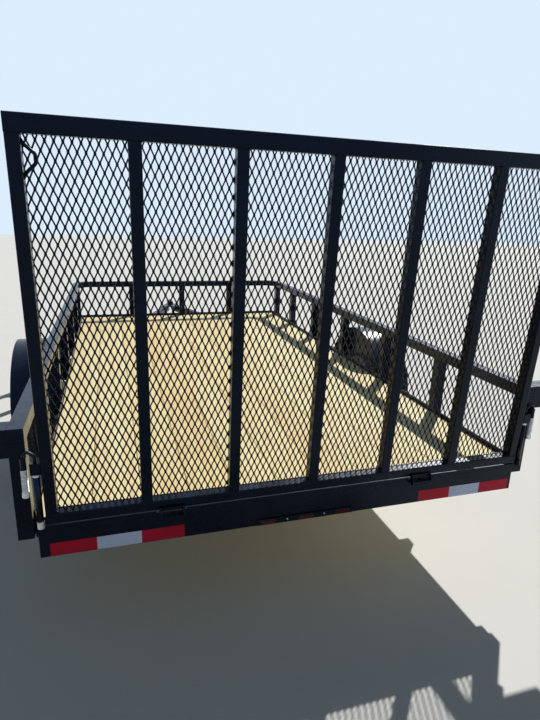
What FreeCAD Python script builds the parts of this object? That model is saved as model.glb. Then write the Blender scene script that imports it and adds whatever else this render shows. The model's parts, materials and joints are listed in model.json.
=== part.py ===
import FreeCAD, Part
import math
import os
import re
import Sketcher

# Single-axle landscape trailer with an open side rail and a mesh ramp gate.
# X to the right, Y forward to the coupler, Z up from the ground. Lengths in mm, angles in degrees.

SIZES = [
    # name, value, what it is
    ("rear_y", -2416, "rear face of the rear sill"),
    ("deck_length", 3658, "rear face of the rear sill to the front face of the front sill"),
    ("deck_width", 1964, "between the side sills' webs"),
    ("board_thick", 38, "deck board"),
    ("board_count", 11, "boards side by side"),
    ("board_gap", 3, "between boards"),
    ("board_play", 2, "between the boards and the steel around them"),
    ("end_board_width", 184, "board laid across the front end"),
    ("sill_thick", 5, "wall of the rolled sections"),
    ("sill_height", 76, "side and front sill, level with the boards"),
    ("sill_flange", 51, "flange of the sills and crossmembers"),
    ("rear_sill_height", 110, "rear sill"),
    ("rear_sill_drop", 15, "top of the rear sill below the boards' top"),
    ("rear_sill_play", 10, "between an end of the rear sill and the side sill's web"),
    ("crossmember_count", 8, "from the rear sill to the joint of the boards"),
    ("crossmember_web", 51, "depth of a crossmember below the boards"),
    ("tube", 51, "square tube of the rails and posts"),
    ("tube_wall", 3, "wall of every square tube"),
    ("rail_height", 347, "top of the rail above the boards"),
    ("rail_bend", 150, "outer radius of the rail's front corners"),
    ("post_setback", 18, "rear posts ahead of the rear sill's face"),
    ("rear_post_drop", 57, "rear post below the top of the boards"),
    ("first_post", 657, "first side post ahead of the rear sill's face"),
    ("last_post", 68, "last side post behind the front sill's face"),
    ("front_post_pitch", 500, "between the front posts"),
    ("tongue_length", 1100, "front sill to the meeting point of the tongue legs"),
    ("tongue_angle", 20, "leg against the centre line"),
    ("tongue_spread", 37, "leg's centre line from the middle at the meeting point"),
    ("tongue_width", 51, "leg"),
    ("tongue_height", 76, "leg"),
    ("tongue_wall", 5, "leg"),
    ("tongue_lap", 203, "leg behind the front sill's face, along the middle line"),
    ("ball_ahead", 110, "ball's centre ahead of the meeting point"),
    ("ball_drop", 19, "ball's centre below the top of the tongue"),
    ("ball_radius", 25.4, "hitch ball"),
    ("ball_play", 0.6, "between the ball and its socket"),
    ("coupler_skin", 6, "top plate of the coupler"),
    ("coupler_rise", 30, "top of the coupler above the tongue"),
    ("coupler_half", 34, "half the width of the coupler's nose"),
    ("coupler_edge", 12, "slope round the top of the coupler's nose"),
    ("coupler_back", 190, "coupler plate behind the meeting point"),
    ("coupler_front", 40, "coupler plate ahead of the meeting point"),
    ("lever_length", 115, "coupler lever"),
    ("lever_height", 30, "coupler lever"),
    ("lever_half", 12, "half the width of the coupler lever"),
    ("axle_y", 1740, "wheel centres ahead of the rear sill's face"),
    ("tyre_radius", 344, "tread at the middle"),
    ("tyre_width", 205, "widest part"),
    ("tyre_bulge", 262, "radius where the tyre is widest"),
    ("tread_width", 160, "flat of the tread"),
    ("rim_radius", 190, "bead seat"),
    ("rim_width", 148, "over the flanges"),
    ("rim_flange", 7, "height of a flange above the bead seat"),
    ("rim_wall", 4, "rim and disc"),
    ("disc_depth", 20, "disc's outer ring outboard of its bolt face"),
    ("disc_face", 88, "radius of the bolt face"),
    ("disc_slope", 20, "radial width of the slope round the bolt face"),
    ("pilot_radius", 42, "hole in the middle of the wheel disc"),
    ("hub_radius", 72, "hub flange"),
    ("hub_flange", 12, "thickness of the hub flange"),
    ("hub_back", 60, "hub barrel inboard of the bolt face"),
    ("hub_barrel", 38, "radius of the hub barrel"),
    ("hub_snout", 14, "hub through the wheel disc"),
    ("cap_radius", 27, "dust cap"),
    ("cap_length", 30, "dust cap beyond the hub"),
    ("cap_wall", 6, "end of the dust cap"),
    ("spindle_radius", 17, "spindle"),
    ("spindle_length", 32, "spindle outboard of the bolt face"),
    ("running_fit", 0.08, "radial clearance of a shaft in its bore"),
    ("seat_gap", 0.3, "clearance of a part that slides or stands loose"),
    ("axle_radius", 30, "axle beam"),
    ("axle_wall", 6, "axle beam"),
    ("hub_room", 12, "between the hub and the end of the axle beam"),
    ("spring_half", 320, "spring eye from the axle"),
    ("spring_width", 45, "leaf"),
    ("leaf_thick", 8, "leaf"),
    ("spring_arch", 5200, "radius of the leaves"),
    ("seat_height", 6, "spring seat above the axle beam"),
    ("seat_half", 60, "half the length of a spring seat"),
    ("seat_sink", 8, "spring seat below the top of the axle beam"),
    ("eye_radius", 16, "spring eye, outside"),
    ("eye_bore", 8, "spring eye, inside"),
    ("hanger_plate", 6, "side of a hanger"),
    ("hanger_drop", 39.182, "spring eye below the side sill's underside, for a deck 525 above the ground"),
    ("hanger_half", 35, "half the length of a hanger at the sill"),
    ("fender_room", 71, "fender beyond the tread"),
    ("fender_side_room", 10, "between the tyre and each side of the fender"),
    ("fender_sheet", 3, "fender sheet"),
    ("fender_angle", 170, "sweep of the fender"),
    ("fender_gap", 7, "between the rail and the fender"),
    ("fender_lip", 22, "turned-down outer edge"),
    ("fender_skirt", 231, "lower edge of the inner side above the wheel centre"),
    ("brace_height", 50, "fender brace"),
    ("brace_depth", 40, "fender brace"),
    ("brace_drop", 5, "top of a brace below the top of the sill"),
    ("brace_bite", 4, "brace into the fender"),
    ("gate_play", 19.5, "between a side of the gate and the side sill's web, gate in the middle"),
    ("gate_height", 1269, "over the top and bottom tubes"),
    ("gate_shift", 18, "gate to the right of the middle"),
    ("gate_tube", 38, "side tubes, bottom tube and uprights"),
    ("gate_top_tube", 51, "height of the top tube"),
    ("gate_lean", 3.27, "gate past upright, top to the rear"),
    ("gate_setback", 17.5, "gate's rear face ahead of the hinge axis"),
    ("gate_rise", 22.5, "bottom of the gate above the hinge axis"),
    ("upright_count", 5, "between the side tubes"),
    ("mesh_short", 23.6, "mesh diamond across"),
    ("mesh_long", 51.2, "mesh diamond up"),
    ("strand_width", 3.6, "mesh strand"),
    ("strand_thick", 1.7, "mesh strand"),
    ("strand_gap", 0.3, "between the two strand layers"),
    ("strand_bite", 4, "strand into the flat bar around the mesh"),
    ("mesh_gap", 0.6, "between the mesh and the uprights"),
    ("edging_width", 20, "flat bar around the mesh"),
    ("edging_thick", 5, "flat bar around the mesh"),
    ("handle_radius", 51, "bow of the grab handle"),
    ("handle_sink", 14, "centre of the bow behind the side tube's inner face"),
    ("handle_rod", 6, "radius of the grab handle's rod"),
    ("handle_drop", 115, "grab handle below the top of the gate"),
    ("hinge_back", 14, "hinge axis behind the rear sill's face"),
    ("hinge_drop", 25, "hinge axis below the boards' top"),
    ("hinge_pitch", 1026, "between the two hinges"),
    ("hinge_shift", -13, "hinges to the right of the middle"),
    ("hinge_length", 74, "hinge block"),
    ("hinge_half", 10, "half the height of the hinge block, and its depth behind its axis"),
    ("hinge_pin", 6, "radius of the hinge pin"),
    ("lug_thick", 8, "gate lug, and the plate between two lugs"),
    ("lug_gap", 1, "between a lug and its block"),
    ("lug_radius", 9, "round end of a lug"),
    ("lug_neck", 14, "lug's upright edge above the hinge axis"),
    ("lug_lap", 12, "lug up the rear face of the gate's bottom tube"),
    ("latch_rod", 5.5, "radius of the latch rod"),
    ("latch_depth", 15, "latch rod behind the rear posts"),
    ("latch_span", 35, "between the legs of the latch rod"),
    ("latch_out", 16, "long leg outboard of the gate"),
    ("latch_drop", 71, "bow of the latch rod below the top of the rail"),
    ("latch_short", 163, "short leg"),
    ("latch_long", 278, "long leg"),
    ("latch_sleeve", 10, "radius of the latch sleeve"),
    ("sleeve_height", 42, "latch sleeve"),
    ("sleeve_drop", 24, "top of the sleeve below the bow"),
    ("spring_coil", 12, "radius of the latch spring"),
    ("grip_radius", 9, "tube on the long leg below the keeper"),
    ("grip_drop", 95, "top of that tube below the bow"),
    ("keeper_width", 32, "gate keeper around the long leg"),
    ("keeper_wall", 3, "gate keeper"),
    ("keeper_height", 42, "gate keeper"),
    ("keeper_drop", 85, "bottom of the keeper below the bow"),
    ("keeper_depth", 22, "gate keeper"),
    ("light_box_height", 98, "down from the top of the rail"),
    ("light_box_depth", 75, "fore and aft"),
    ("light_box_sheet", 3, "sheet"),
    ("lamp_length", 150, "oval tail lamp"),
    ("lamp_height", 57, "oval tail lamp"),
    ("lamp_edge", 8, "tail lamp from the outboard end of its box"),
    ("lamp_proud", 8, "tail lamp beyond its box"),
    ("id_shift", -7, "marker light bar to the right of the middle"),
    ("id_length", 400, "marker light bar"),
    ("id_height", 24, "marker light bar"),
    ("id_thick", 6, "marker light bar"),
    ("id_rise", 3, "marker light bar above the bottom of the sill"),
    ("id_pitch", 155, "between marker lamps"),
    ("id_lamp", 58, "marker lamp"),
    ("id_lamp_height", 16, "marker lamp"),
    ("id_proud", 5, "marker lamp beyond its bar"),
    ("jack_back", 110, "jack behind the meeting point, along the leg"),
    ("jack_radius", 28, "outer tube"),
    ("jack_wall", 3, "outer tube"),
    ("jack_low", 149, "bottom of the outer tube below the side sill's underside"),
    ("jack_high", 241, "top of the outer tube above the side sill's underside"),
    ("jack_lid", 10, "closed top of the outer tube"),
    ("jack_bracket", 10, "plate between the jack and the leg"),
    ("bracket_half", 30, "half the length of that plate"),
    ("jack_lap", 120, "inner tube in the outer tube"),
    ("foot_radius", 70, "jack foot"),
    ("foot_thick", 8, "jack foot"),
    ("crank_head", 22, "radius of the crank's gear head"),
    ("crank_head_height", 30, "gear head"),
    ("crank_radius", 7, "crank rod"),
    ("crank_rise", 16, "crank rod above the top of the outer tube"),
    ("crank_reach", 54, "crank rod ahead of the jack's middle"),
    ("crank_flat", 12, "thickness of the crank arm"),
    ("crank_drop", 120, "crank arm"),
    ("crank_grip", 70, "crank handle"),
]

# side posts from the rear: how far each stands ahead of an even spacing
POST_SHIFTS = [0, 6, 50, 83, 80, 0]

NAMES = {row[0] for row in SIZES}
VALUE = {row[0]: float(row[1]) for row in SIZES}

os.makedirs("parts", exist_ok=True)
doc = FreeCAD.newDocument("trailer")
sheet = doc.addObject("Spreadsheet::Sheet", "Sizes")
for row_number, (size_name, size_value, note) in enumerate(SIZES, start=1):
    sheet.set(f"A{row_number}", size_name)
    sheet.set(f"B{row_number}", str(size_value))
    sheet.setAlias(f"B{row_number}", size_name)
    sheet.set(f"C{row_number}", note)
doc.recompute()

PARTS = {}


def bound(text):
    """Adds the sheet's name to each size in an expression."""
    return re.sub(r"[A-Za-z_]\w*", lambda m: "Sizes." + m.group() if m.group() in NAMES else m.group(), str(text))


def keep(label, thing):
    thing.Label = label
    PARTS[label] = thing
    return thing


def new_body(name):
    body = doc.addObject("PartDesign::Body", name)
    body.AllowCompound = True
    return body


def origin_plane(body, role):
    return [f for f in body.Origin.OriginFeatures if f.Role == role][0]


def sketch_on(body, name, role, offset="0", centre=("0", "0")):
    """A sketch on an origin plane, moved along its normal by offset, with its own origin at centre."""
    sketch = body.newObject("Sketcher::SketchObject", name)
    sketch.AttachmentSupport = [(origin_plane(body, role), "")]
    sketch.MapMode = "FlatFace"
    sketch.setExpression("AttachmentOffset.Base.x", bound(centre[0]))
    sketch.setExpression("AttachmentOffset.Base.y", bound(centre[1]))
    sketch.setExpression("AttachmentOffset.Base.z", bound(offset))
    return sketch


def add_loop(sketch, loop):
    """A closed outline whose corners are each held by two bound distances."""
    first = sketch.GeometryCount
    count = len(loop)
    corners = [FreeCAD.Vector(math.cos(6.28 * i / count), math.sin(6.28 * i / count), 0) for i in range(count)]
    lines = [Part.LineSegment(corners[i], corners[(i + 1) % count]) for i in range(count)]
    sketch.addGeometry(lines)
    for i in range(count):
        sketch.addConstraint(Sketcher.Constraint("Coincident", first + i, 2, first + (i + 1) % count, 1))
    for i, (across, up) in enumerate(loop):
        for kind, text in (("DistanceX", across), ("DistanceY", up)):
            number = sketch.addConstraint(Sketcher.Constraint(kind, first + i, 1, i + 1.0))
            sketch.setExpression(f"Constraints[{number}]", bound(text))


def add_circle(sketch, across, up, radius):
    number = sketch.addGeometry(Part.Circle(FreeCAD.Vector(1, 1, 0), FreeCAD.Vector(0, 0, 1), 5))
    for kind, text in (("DistanceX", across), ("DistanceY", up)):
        index = sketch.addConstraint(Sketcher.Constraint(kind, number, 3, 1.0))
        sketch.setExpression(f"Constraints[{index}]", bound(text))
    index = sketch.addConstraint(Sketcher.Constraint("Radius", number, 5.0))
    sketch.setExpression(f"Constraints[{index}]", bound(radius))


def draw(sketch, loops):
    for loop in loops:
        if loop[0] == "circle":
            add_circle(sketch, *loop[1:])
        else:
            add_loop(sketch, loop)


def pad(body, name, role, loops, start, length):
    """Extrudes loops from start by length along the positive axis across the plane."""
    offset = f"-(({start}) + ({length}))" if role == "XZ_Plane" else start
    sketch = sketch_on(body, name + "_sketch", role, offset)
    draw(sketch, loops)
    feature = body.newObject("PartDesign::Pad", name)
    feature.Profile = sketch
    feature.setExpression("Length", bound(length))
    body.Tip = feature
    return feature


def pocket(body, name, role, loops, start, length):
    """Cuts loops from start by length along the positive axis across the plane."""
    offset = f"-({start})" if role == "XZ_Plane" else f"({start}) + ({length})"
    sketch = sketch_on(body, name + "_sketch", role, offset)
    draw(sketch, loops)
    feature = body.newObject("PartDesign::Pocket", name)
    feature.Profile = sketch
    feature.setExpression("Length", bound(length))
    body.Tip = feature
    return feature


def turn(body, name, role, loops, axis, centre, offset="0", angle="360", middle=False):
    """Revolves loops about an axis of their sketch, whose origin lies at centre."""
    sketch = sketch_on(body, name + "_sketch", role, offset, centre)
    draw(sketch, loops)
    feature = body.newObject("PartDesign::Revolution", name)
    feature.Profile = sketch
    feature.ReferenceAxis = (sketch, [axis])
    feature.setExpression("Angle", bound(angle))
    feature.Midplane = middle
    body.Tip = feature
    return feature


def box(left, low, right, high):
    return [(left, low), (right, low), (right, high), (left, high)]


def tube_section(left, low, across, up, wall):
    """Outer and inner outline of a rectangular tube."""
    return [
        box(left, low, f"{left} + {across}", f"{low} + {up}"),
        box(f"{left} + {wall}", f"{low} + {wall}", f"{left} + {across} - {wall}", f"{low} + {up} - {wall}"),
    ]


def mirrored(label, source):
    copy = doc.addObject("Part::Mirroring", label)
    copy.Source = source
    copy.Normal = FreeCAD.Vector(1, 0, 0)
    return keep(label, copy)


def pair(label, source):
    """A piece and its mirror image, on one body and apart from each other."""
    other = doc.addObject("Part::Mirroring", source.Name + "_mirrored")
    other.Source = source
    other.Normal = FreeCAD.Vector(1, 0, 0)
    both = doc.addObject("Part::Compound", label)
    both.Links = [source, other]
    return keep(label, both)


def fused(label, shapes):
    thing = doc.addObject("Part::MultiFuse", label)
    thing.Shapes = shapes
    thing.Refine = True
    return keep(label, thing)


# Derived places, all from the sizes above
FRONT = "(rear_y + deck_length)"
HALF = "(deck_width / 2)"
AXLE = "(rear_y + axle_y)"
SPRING_LOW = "(tyre_radius + axle_radius + seat_height)"
EYE_Z = f"({SPRING_LOW} + spring_arch - (spring_arch - 2.5 * leaf_thick) * cos(asin(spring_half / spring_arch)))"
SILL_LOW = f"({EYE_Z} + hanger_drop)"
DECK = f"({SILL_LOW} + sill_height)"
BOARD_LOW = f"({DECK} - board_thick)"
REAR_TOP = f"({DECK} - rear_sill_drop)"
REAR_LOW = f"({DECK} - rear_sill_drop - rear_sill_height)"
POST_IN = "(deck_width / 2 + sill_thick)"
POST_OUT = "(deck_width / 2 + sill_thick + tube)"
RAIL_TOP = f"({DECK} + rail_height)"
RAIL_LOW = f"({DECK} + rail_height - tube)"
RAIL_REAR = "(rear_y + post_setback)"
FENDER_IN = f"({POST_OUT} + fender_gap)"
FENDER_WIDTH = "(tyre_width + 2 * fender_side_room)"
FENDER_RADIUS = "(tyre_radius + fender_room)"
WHEEL_X = f"({POST_OUT} + fender_gap + fender_side_room + tyre_width / 2)"
SPRING_X = f"({POST_IN} - sill_flange / 2)"
APEX = "(rear_y + deck_length + tongue_length)"
HINGE_Y = "(rear_y - hinge_back)"
HINGE_Z = f"({DECK} - hinge_drop)"
GATE_HALF = "(deck_width / 2 - gate_play)"

# Frame: angle sills at the sides and the front
side_sill = new_body("side_sill")
angle = [
    (POST_IN, SILL_LOW),
    (POST_IN, DECK),
    (HALF, DECK),
    (HALF, f"{SILL_LOW} + sill_thick"),
    (f"{POST_IN} - sill_flange", f"{SILL_LOW} + sill_thick"),
    (f"{POST_IN} - sill_flange", SILL_LOW),
]
pad(side_sill, "side_angle", "XZ_Plane", [angle], "rear_y + sill_flange", "deck_length - sill_flange - sill_thick")
tail = box(f"{POST_IN} - sill_flange", SILL_LOW, f"{HALF} - rear_sill_play", f"{SILL_LOW} + sill_thick")
pad(side_sill, "flange_tail", "XZ_Plane", [tail], "rear_y + sill_thick", "sill_flange - sill_thick")
keep("side_sill_right", side_sill)
mirrored("side_sill_left", side_sill)

front_sill = new_body("front_sill_body")
front_web = box(f"{FRONT} - sill_thick", SILL_LOW, FRONT, DECK)
pad(front_sill, "front_web", "YZ_Plane", [front_web], f"-{POST_IN}", f"2 * {POST_IN}")
front_leg = box(f"{FRONT} - sill_flange", f"{BOARD_LOW} - sill_thick", FRONT, BOARD_LOW)
pad(front_sill, "front_leg", "YZ_Plane", [front_leg], f"-{HALF}", "deck_width")
keep("front_sill", front_sill)

# Rear sill: a channel, open to the front, a little lower than the boards
rear_sill = new_body("rear_sill_body")
channel = [
    ("rear_y", REAR_LOW),
    ("rear_y + sill_flange", REAR_LOW),
    ("rear_y + sill_flange", f"{REAR_LOW} + sill_thick"),
    ("rear_y + sill_thick", f"{REAR_LOW} + sill_thick"),
    ("rear_y + sill_thick", f"{REAR_TOP} - sill_thick"),
    ("rear_y + sill_flange", f"{REAR_TOP} - sill_thick"),
    ("rear_y + sill_flange", REAR_TOP),
    ("rear_y", REAR_TOP),
]
rear_half = f"({HALF} - rear_sill_play)"
pad(rear_sill, "rear_channel", "YZ_Plane", [channel], f"-{rear_half}", f"2 * {rear_half}")
keep("rear_sill", rear_sill)

# Crossmembers: angles under the boards, their webs stopped short of the sills' flanges.
# The rear one carries the boards' rear ends and the front one their joint with the end board.
crossmembers = new_body("crossmembers_body")
inner_half = f"({POST_IN} - sill_flange)"
board_joint = "(deck_length - sill_thick - board_play - end_board_width - board_gap / 2)"
member_first = "(sill_flange + board_play)"
member_run = f"({board_joint} - sill_flange / 2 - {member_first})"
member_y = f"(rear_y + {member_first})"
flange = box(member_y, f"{BOARD_LOW} - sill_thick", f"{member_y} + sill_flange", BOARD_LOW)
web = box(member_y, f"{BOARD_LOW} - crossmember_web", f"{member_y} + sill_thick", BOARD_LOW)
pad(crossmembers, "member_flange", "YZ_Plane", [flange], f"-{HALF}", "deck_width")
pad(crossmembers, "member_web", "YZ_Plane", [web], f"-{inner_half}", f"2 * {inner_half}")
row = crossmembers.newObject("PartDesign::LinearPattern", "member_row")
row.Originals = [crossmembers.getObject("member_flange"), crossmembers.getObject("member_web")]
row.Direction = (origin_plane(crossmembers, "XZ_Plane"), [""])
row.Reversed = True
row.setExpression("Length", bound(member_run))
row.setExpression("Occurrences", bound("crossmember_count"))
crossmembers.Tip = row
keep("crossmembers", crossmembers)

# Deck boards, laid lengthwise, with one board across the front end
boards = new_body("boards_body")
board_width = "((deck_width - 2 * board_play - (board_count - 1) * board_gap) / board_count)"
board_rear = "(rear_y + sill_flange + board_play)"
end_front = f"({FRONT} - sill_thick - board_play)"
board_run = f"({end_front} - end_board_width - board_gap - {board_rear})"
first_left = f"(-{HALF} + board_play)"
first_board = box(first_left, board_rear, f"{first_left} + {board_width}", f"{board_rear} + {board_run}")
pad(boards, "board", "XY_Plane", [first_board], BOARD_LOW, "board_thick")
spread = boards.newObject("PartDesign::LinearPattern", "board_row")
spread.Originals = [boards.getObject("board")]
spread.Direction = (origin_plane(boards, "YZ_Plane"), [""])
spread.setExpression("Length", bound(f"({board_width} + board_gap) * (board_count - 1)"))
spread.setExpression("Occurrences", bound("board_count"))
boards.Tip = spread
keep("deck_boards", boards)

end_board = new_body("end_board_body")
across = box(first_left, f"{end_front} - end_board_width", f"-{first_left}", end_front)
pad(end_board, "end_board_pad", "XY_Plane", [across], BOARD_LOW, "board_thick")
keep("deck_end_board", end_board)

# Top rail: a tube along each side and one across the front with bent corners
side_rail = new_body("side_rail")
section = tube_section(POST_IN, RAIL_LOW, "tube", "tube", "tube_wall")
rail_run = "(deck_length + tube - rail_bend - post_setback)"
pad(side_rail, "side_rail_pad", "XZ_Plane", section, RAIL_REAR, rail_run)
end_plate = [box(POST_IN, RAIL_LOW, POST_OUT, RAIL_TOP)]
pad(side_rail, "rail_end_plate", "XZ_Plane", end_plate, RAIL_REAR, "tube_wall")
keep("rail_right", side_rail)
mirrored("rail_left", side_rail)

front_tube = new_body("front_tube")
section = tube_section(FRONT, RAIL_LOW, "tube", "tube", "tube_wall")
straight = f"({POST_OUT} - rail_bend)"
pad(front_tube, "front_tube_pad", "YZ_Plane", section, f"-{straight}", f"2 * {straight}")
corner = new_body("rail_corner")
section = tube_section("(rail_bend - tube)", RAIL_LOW, "tube", "tube", "tube_wall")
turn(corner, "rail_corner_turn", "XZ_Plane", section, "V_Axis", (straight, "0"), f"-({FRONT} + tube - rail_bend)", "90")
corner_left = doc.addObject("Part::Mirroring", "rail_corner_left")
corner_left.Source = corner
corner_left.Normal = FreeCAD.Vector(1, 0, 0)
fused("rail_front", [front_tube, corner, corner_left])


side_posts = new_body("side_posts")
post_pitch = f"((deck_length - first_post - last_post) / {len(POST_SHIFTS) - 1})"
loops = []
for number, shift in enumerate(POST_SHIFTS):
    post_rear = f"(rear_y + first_post + {number} * {post_pitch} + {shift} - tube / 2)"
    loops += tube_section(POST_IN, post_rear, "tube", "tube", "tube_wall")
pad(side_posts, "side_posts_pad", "XY_Plane", loops, SILL_LOW, f"{RAIL_LOW} - {SILL_LOW}")
keep("rail_posts_right", side_posts)
mirrored("rail_posts_left", side_posts)
front_posts = new_body("front_posts")
loops = []
for number in (-1, 0, 1):
    loops += tube_section(f"({number} * front_post_pitch - tube / 2)", FRONT, "tube", "tube", "tube_wall")
pad(front_posts, "front_posts_pad", "XY_Plane", loops, SILL_LOW, f"{RAIL_LOW} - {SILL_LOW}")
keep("rail_posts_front", front_posts)

# Rear posts, under the rear ends of the rails
rear_post = new_body("rear_post")
section = tube_section(POST_IN, RAIL_REAR, "tube", "tube", "tube_wall")
post_low = f"({DECK} - rear_post_drop)"
pad(rear_post, "rear_post_pad", "XY_Plane", section, post_low, f"{RAIL_LOW} - {post_low}")
pair("rear_posts", rear_post)

# Tail light boxes, level with the rail and outboard of the rear posts
light_box = new_body("light_box")
box_low = f"({RAIL_TOP} - light_box_height)"
box_out = f"({FENDER_IN} + {FENDER_WIDTH})"
pad(light_box, "light_box_pad", "XZ_Plane", [box(POST_OUT, box_low, box_out, RAIL_TOP)], RAIL_REAR, "light_box_depth")
hollow = box(
    f"{POST_OUT} + light_box_sheet", f"{box_low} + light_box_sheet", f"{box_out} - light_box_sheet", f"{RAIL_TOP} - light_box_sheet"
)
pocket(light_box, "light_box_hollow", "XZ_Plane", [hollow], f"{RAIL_REAR} + light_box_sheet", "light_box_depth")
pair("light_boxes", light_box)


def oval_lamp(body, name, across, up, length, height, rear, proud):
    """A lens with round ends, as a middle block and two discs."""
    run = f"({length} / 2 - {height} / 2)"
    middle = box(f"{across} - {run}", f"{up} - {height} / 2", f"{across} + {run}", f"{up} + {height} / 2")
    pad(body, name, "XZ_Plane", [middle], rear, proud)
    for side, sign in (("left", "-"), ("right", "+")):
        pad(body, f"{name}_{side}", "XZ_Plane", [("circle", f"{across} {sign} {run}", up, f"{height} / 2")], rear, proud)


lamp = new_body("tail_lamp")
lamp_x = f"({box_out} - lamp_edge - lamp_length / 2)"
lamp_z = f"({RAIL_TOP} - light_box_height / 2)"
oval_lamp(lamp, "tail_lens", lamp_x, lamp_z, "lamp_length", "lamp_height", f"{RAIL_REAR} - lamp_proud", "lamp_proud")
pair("tail_lamps", lamp)

# Marker light bar with three oval lamps low on the rear sill
id_bar = new_body("id_bar_body")
bar_low = f"({REAR_LOW} + id_rise)"
bar = box("id_shift - id_length / 2", bar_low, "id_shift + id_length / 2", f"{bar_low} + id_height")
pad(id_bar, "id_bar_pad", "XZ_Plane", [bar], "rear_y - id_thick", "id_thick")
keep("id_light_bar", id_bar)
id_lamps = new_body("id_lamps_body")
lamp_up = f"({bar_low} + id_height / 2)"
for number in (-1, 0, 1):
    across = f"(id_shift + {number} * id_pitch)"
    rear = "rear_y - id_thick - id_proud"
    oval_lamp(id_lamps, f"id_lens_{number + 1}", across, lamp_up, "id_lamp", "id_lamp_height", rear, "id_proud")
keep("id_lamps", id_lamps)

# Tongue: two tube legs under the front sill, drawn along +Y from the meeting point and swung out
leg = new_body("tongue_leg")
section = tube_section("(-tongue_width / 2)", f"({SILL_LOW} - tongue_height)", "tongue_width", "tongue_height", "tongue_wall")
leg_run = "((tongue_length + tongue_lap) / cos(tongue_angle))"
pad(leg, "leg_pad", "XZ_Plane", section, f"-{leg_run}", leg_run)
leg.setExpression("Placement.Base.x", bound("tongue_spread"))
leg.setExpression("Placement.Base.y", bound(APEX))
leg.setExpression("Placement.Rotation.Angle", bound("tongue_angle"))
keep("tongue_leg_right", leg)
mirrored("tongue_leg_left", leg)

# Coupler: a plate over the legs, a neck and a round nose with the ball socket
coupler = new_body("coupler_body")
ball_y = f"({APEX} + ball_ahead)"
ball_z = f"({SILL_LOW} - ball_drop)"
nose_top = f"({SILL_LOW} + coupler_rise)"
plate_wide = "(tongue_spread + coupler_back * tan(tongue_angle) + tongue_width / 2)"
plate = [
    (f"-{plate_wide}", f"{APEX} - coupler_back"),
    (plate_wide, f"{APEX} - coupler_back"),
    ("tongue_spread + tongue_width / 2", f"{APEX}"),
    ("coupler_half", f"{APEX} + coupler_front"),
    ("-coupler_half", f"{APEX} + coupler_front"),
    ("-(tongue_spread + tongue_width / 2)", f"{APEX}"),
]
pad(coupler, "coupler_plate", "XY_Plane", [plate], SILL_LOW, "coupler_skin")
socket = "(ball_radius + ball_play)"
neck = box("-coupler_half", f"{APEX} + coupler_edge", "coupler_half", ball_y)
pad(coupler, "coupler_neck", "XY_Plane", [neck], f"{ball_z}", f"{nose_top} - {ball_z}")
dome = [
    ("0", "0"), ("coupler_half", "0"), ("coupler_half", f"{nose_top} - coupler_edge - {ball_z}"),
    ("coupler_half - coupler_edge", f"{nose_top} - {ball_z}"), ("0", f"{nose_top} - {ball_z}"),
]
turn(coupler, "coupler_nose", "XZ_Plane", [dome], "V_Axis", ("0", ball_z), f"-{ball_y}")
ball_space = coupler.newObject("PartDesign::SubtractiveSphere", "ball_socket")
ball_space.setExpression("Radius", bound(socket))
ball_space.AttachmentSupport = [(origin_plane(coupler, "XY_Plane"), "")]
ball_space.MapMode = "FlatFace"
ball_space.setExpression("AttachmentOffset.Base.y", bound(ball_y))
ball_space.setExpression("AttachmentOffset.Base.z", bound(ball_z))
coupler.Tip = ball_space
keep("coupler", coupler)

latch = new_body("coupler_lever_body")
lever_front = f"({ball_y} - lever_half)"
lever = [
    (f"{lever_front} - 0.7 * lever_length", nose_top),
    (lever_front, nose_top),
    (f"{lever_front} - 0.04 * lever_length", f"{nose_top} + lever_height / 2"),
    (f"{lever_front} - 0.4 * lever_length", f"{nose_top} + 0.87 * lever_height"),
    (f"{lever_front} - lever_length", f"{nose_top} + lever_height"),
    (f"{lever_front} - lever_length", f"{nose_top} + 0.73 * lever_height"),
]
pad(latch, "lever_pad", "YZ_Plane", [lever], "-lever_half", "2 * lever_half")
keep("coupler_lever", latch)

# Jack on the right leg of the tongue, in the leg's own direction
jack_x = "(tongue_width / 2 + jack_bracket + jack_radius)"
jack_y = "(-jack_back)"
jack_bottom = f"({SILL_LOW} - jack_low)"
jack_top = f"({SILL_LOW} + jack_high)"


def on_leg(body):
    body.setExpression("Placement.Base.x", bound("tongue_spread"))
    body.setExpression("Placement.Base.y", bound(APEX))
    body.setExpression("Placement.Rotation.Angle", bound("tongue_angle"))


jack_tube = new_body("jack_tube_body")
bracket = box("tongue_width / 2", f"{jack_y} - bracket_half", jack_x, f"{jack_y} + bracket_half")
pad(jack_tube, "jack_bracket_pad", "XY_Plane", [bracket], f"{SILL_LOW} - tongue_height", "tongue_height")
ring = [("circle", jack_x, jack_y, "jack_radius")]
pad(jack_tube, "jack_tube_pad", "XY_Plane", ring, jack_bottom, f"{jack_top} - {jack_bottom}")
bore = [("circle", jack_x, jack_y, "jack_radius - jack_wall")]
pocket(jack_tube, "jack_tube_bore", "XY_Plane", bore, jack_bottom, f"{jack_top} - {jack_bottom} - jack_lid")
on_leg(jack_tube)
keep("jack_tube", jack_tube)

crank = new_body("jack_crank_body")
crank_z = f"({jack_top} + crank_rise)"
pad(crank, "crank_post", "XY_Plane", [("circle", jack_x, jack_y, "crank_head")], jack_top, "crank_head_height")
shaft = [("circle", jack_x, crank_z, "crank_radius")]
pad(crank, "crank_shaft", "XZ_Plane", shaft, jack_y, "crank_reach")
arm = box(f"{jack_x} - crank_radius", f"{crank_z} - crank_drop", f"{jack_x} + crank_radius", f"{crank_z} + crank_radius")
pad(crank, "crank_arm", "XZ_Plane", [arm], f"{jack_y} + crank_reach - crank_flat / 2", "crank_flat")
grip = [("circle", jack_x, f"{crank_z} - crank_drop + crank_flat", "crank_flat")]
pad(crank, "crank_grip", "XZ_Plane", grip, f"{jack_y} + crank_reach", "crank_grip")
on_leg(crank)
keep("jack_crank", crank)

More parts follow.
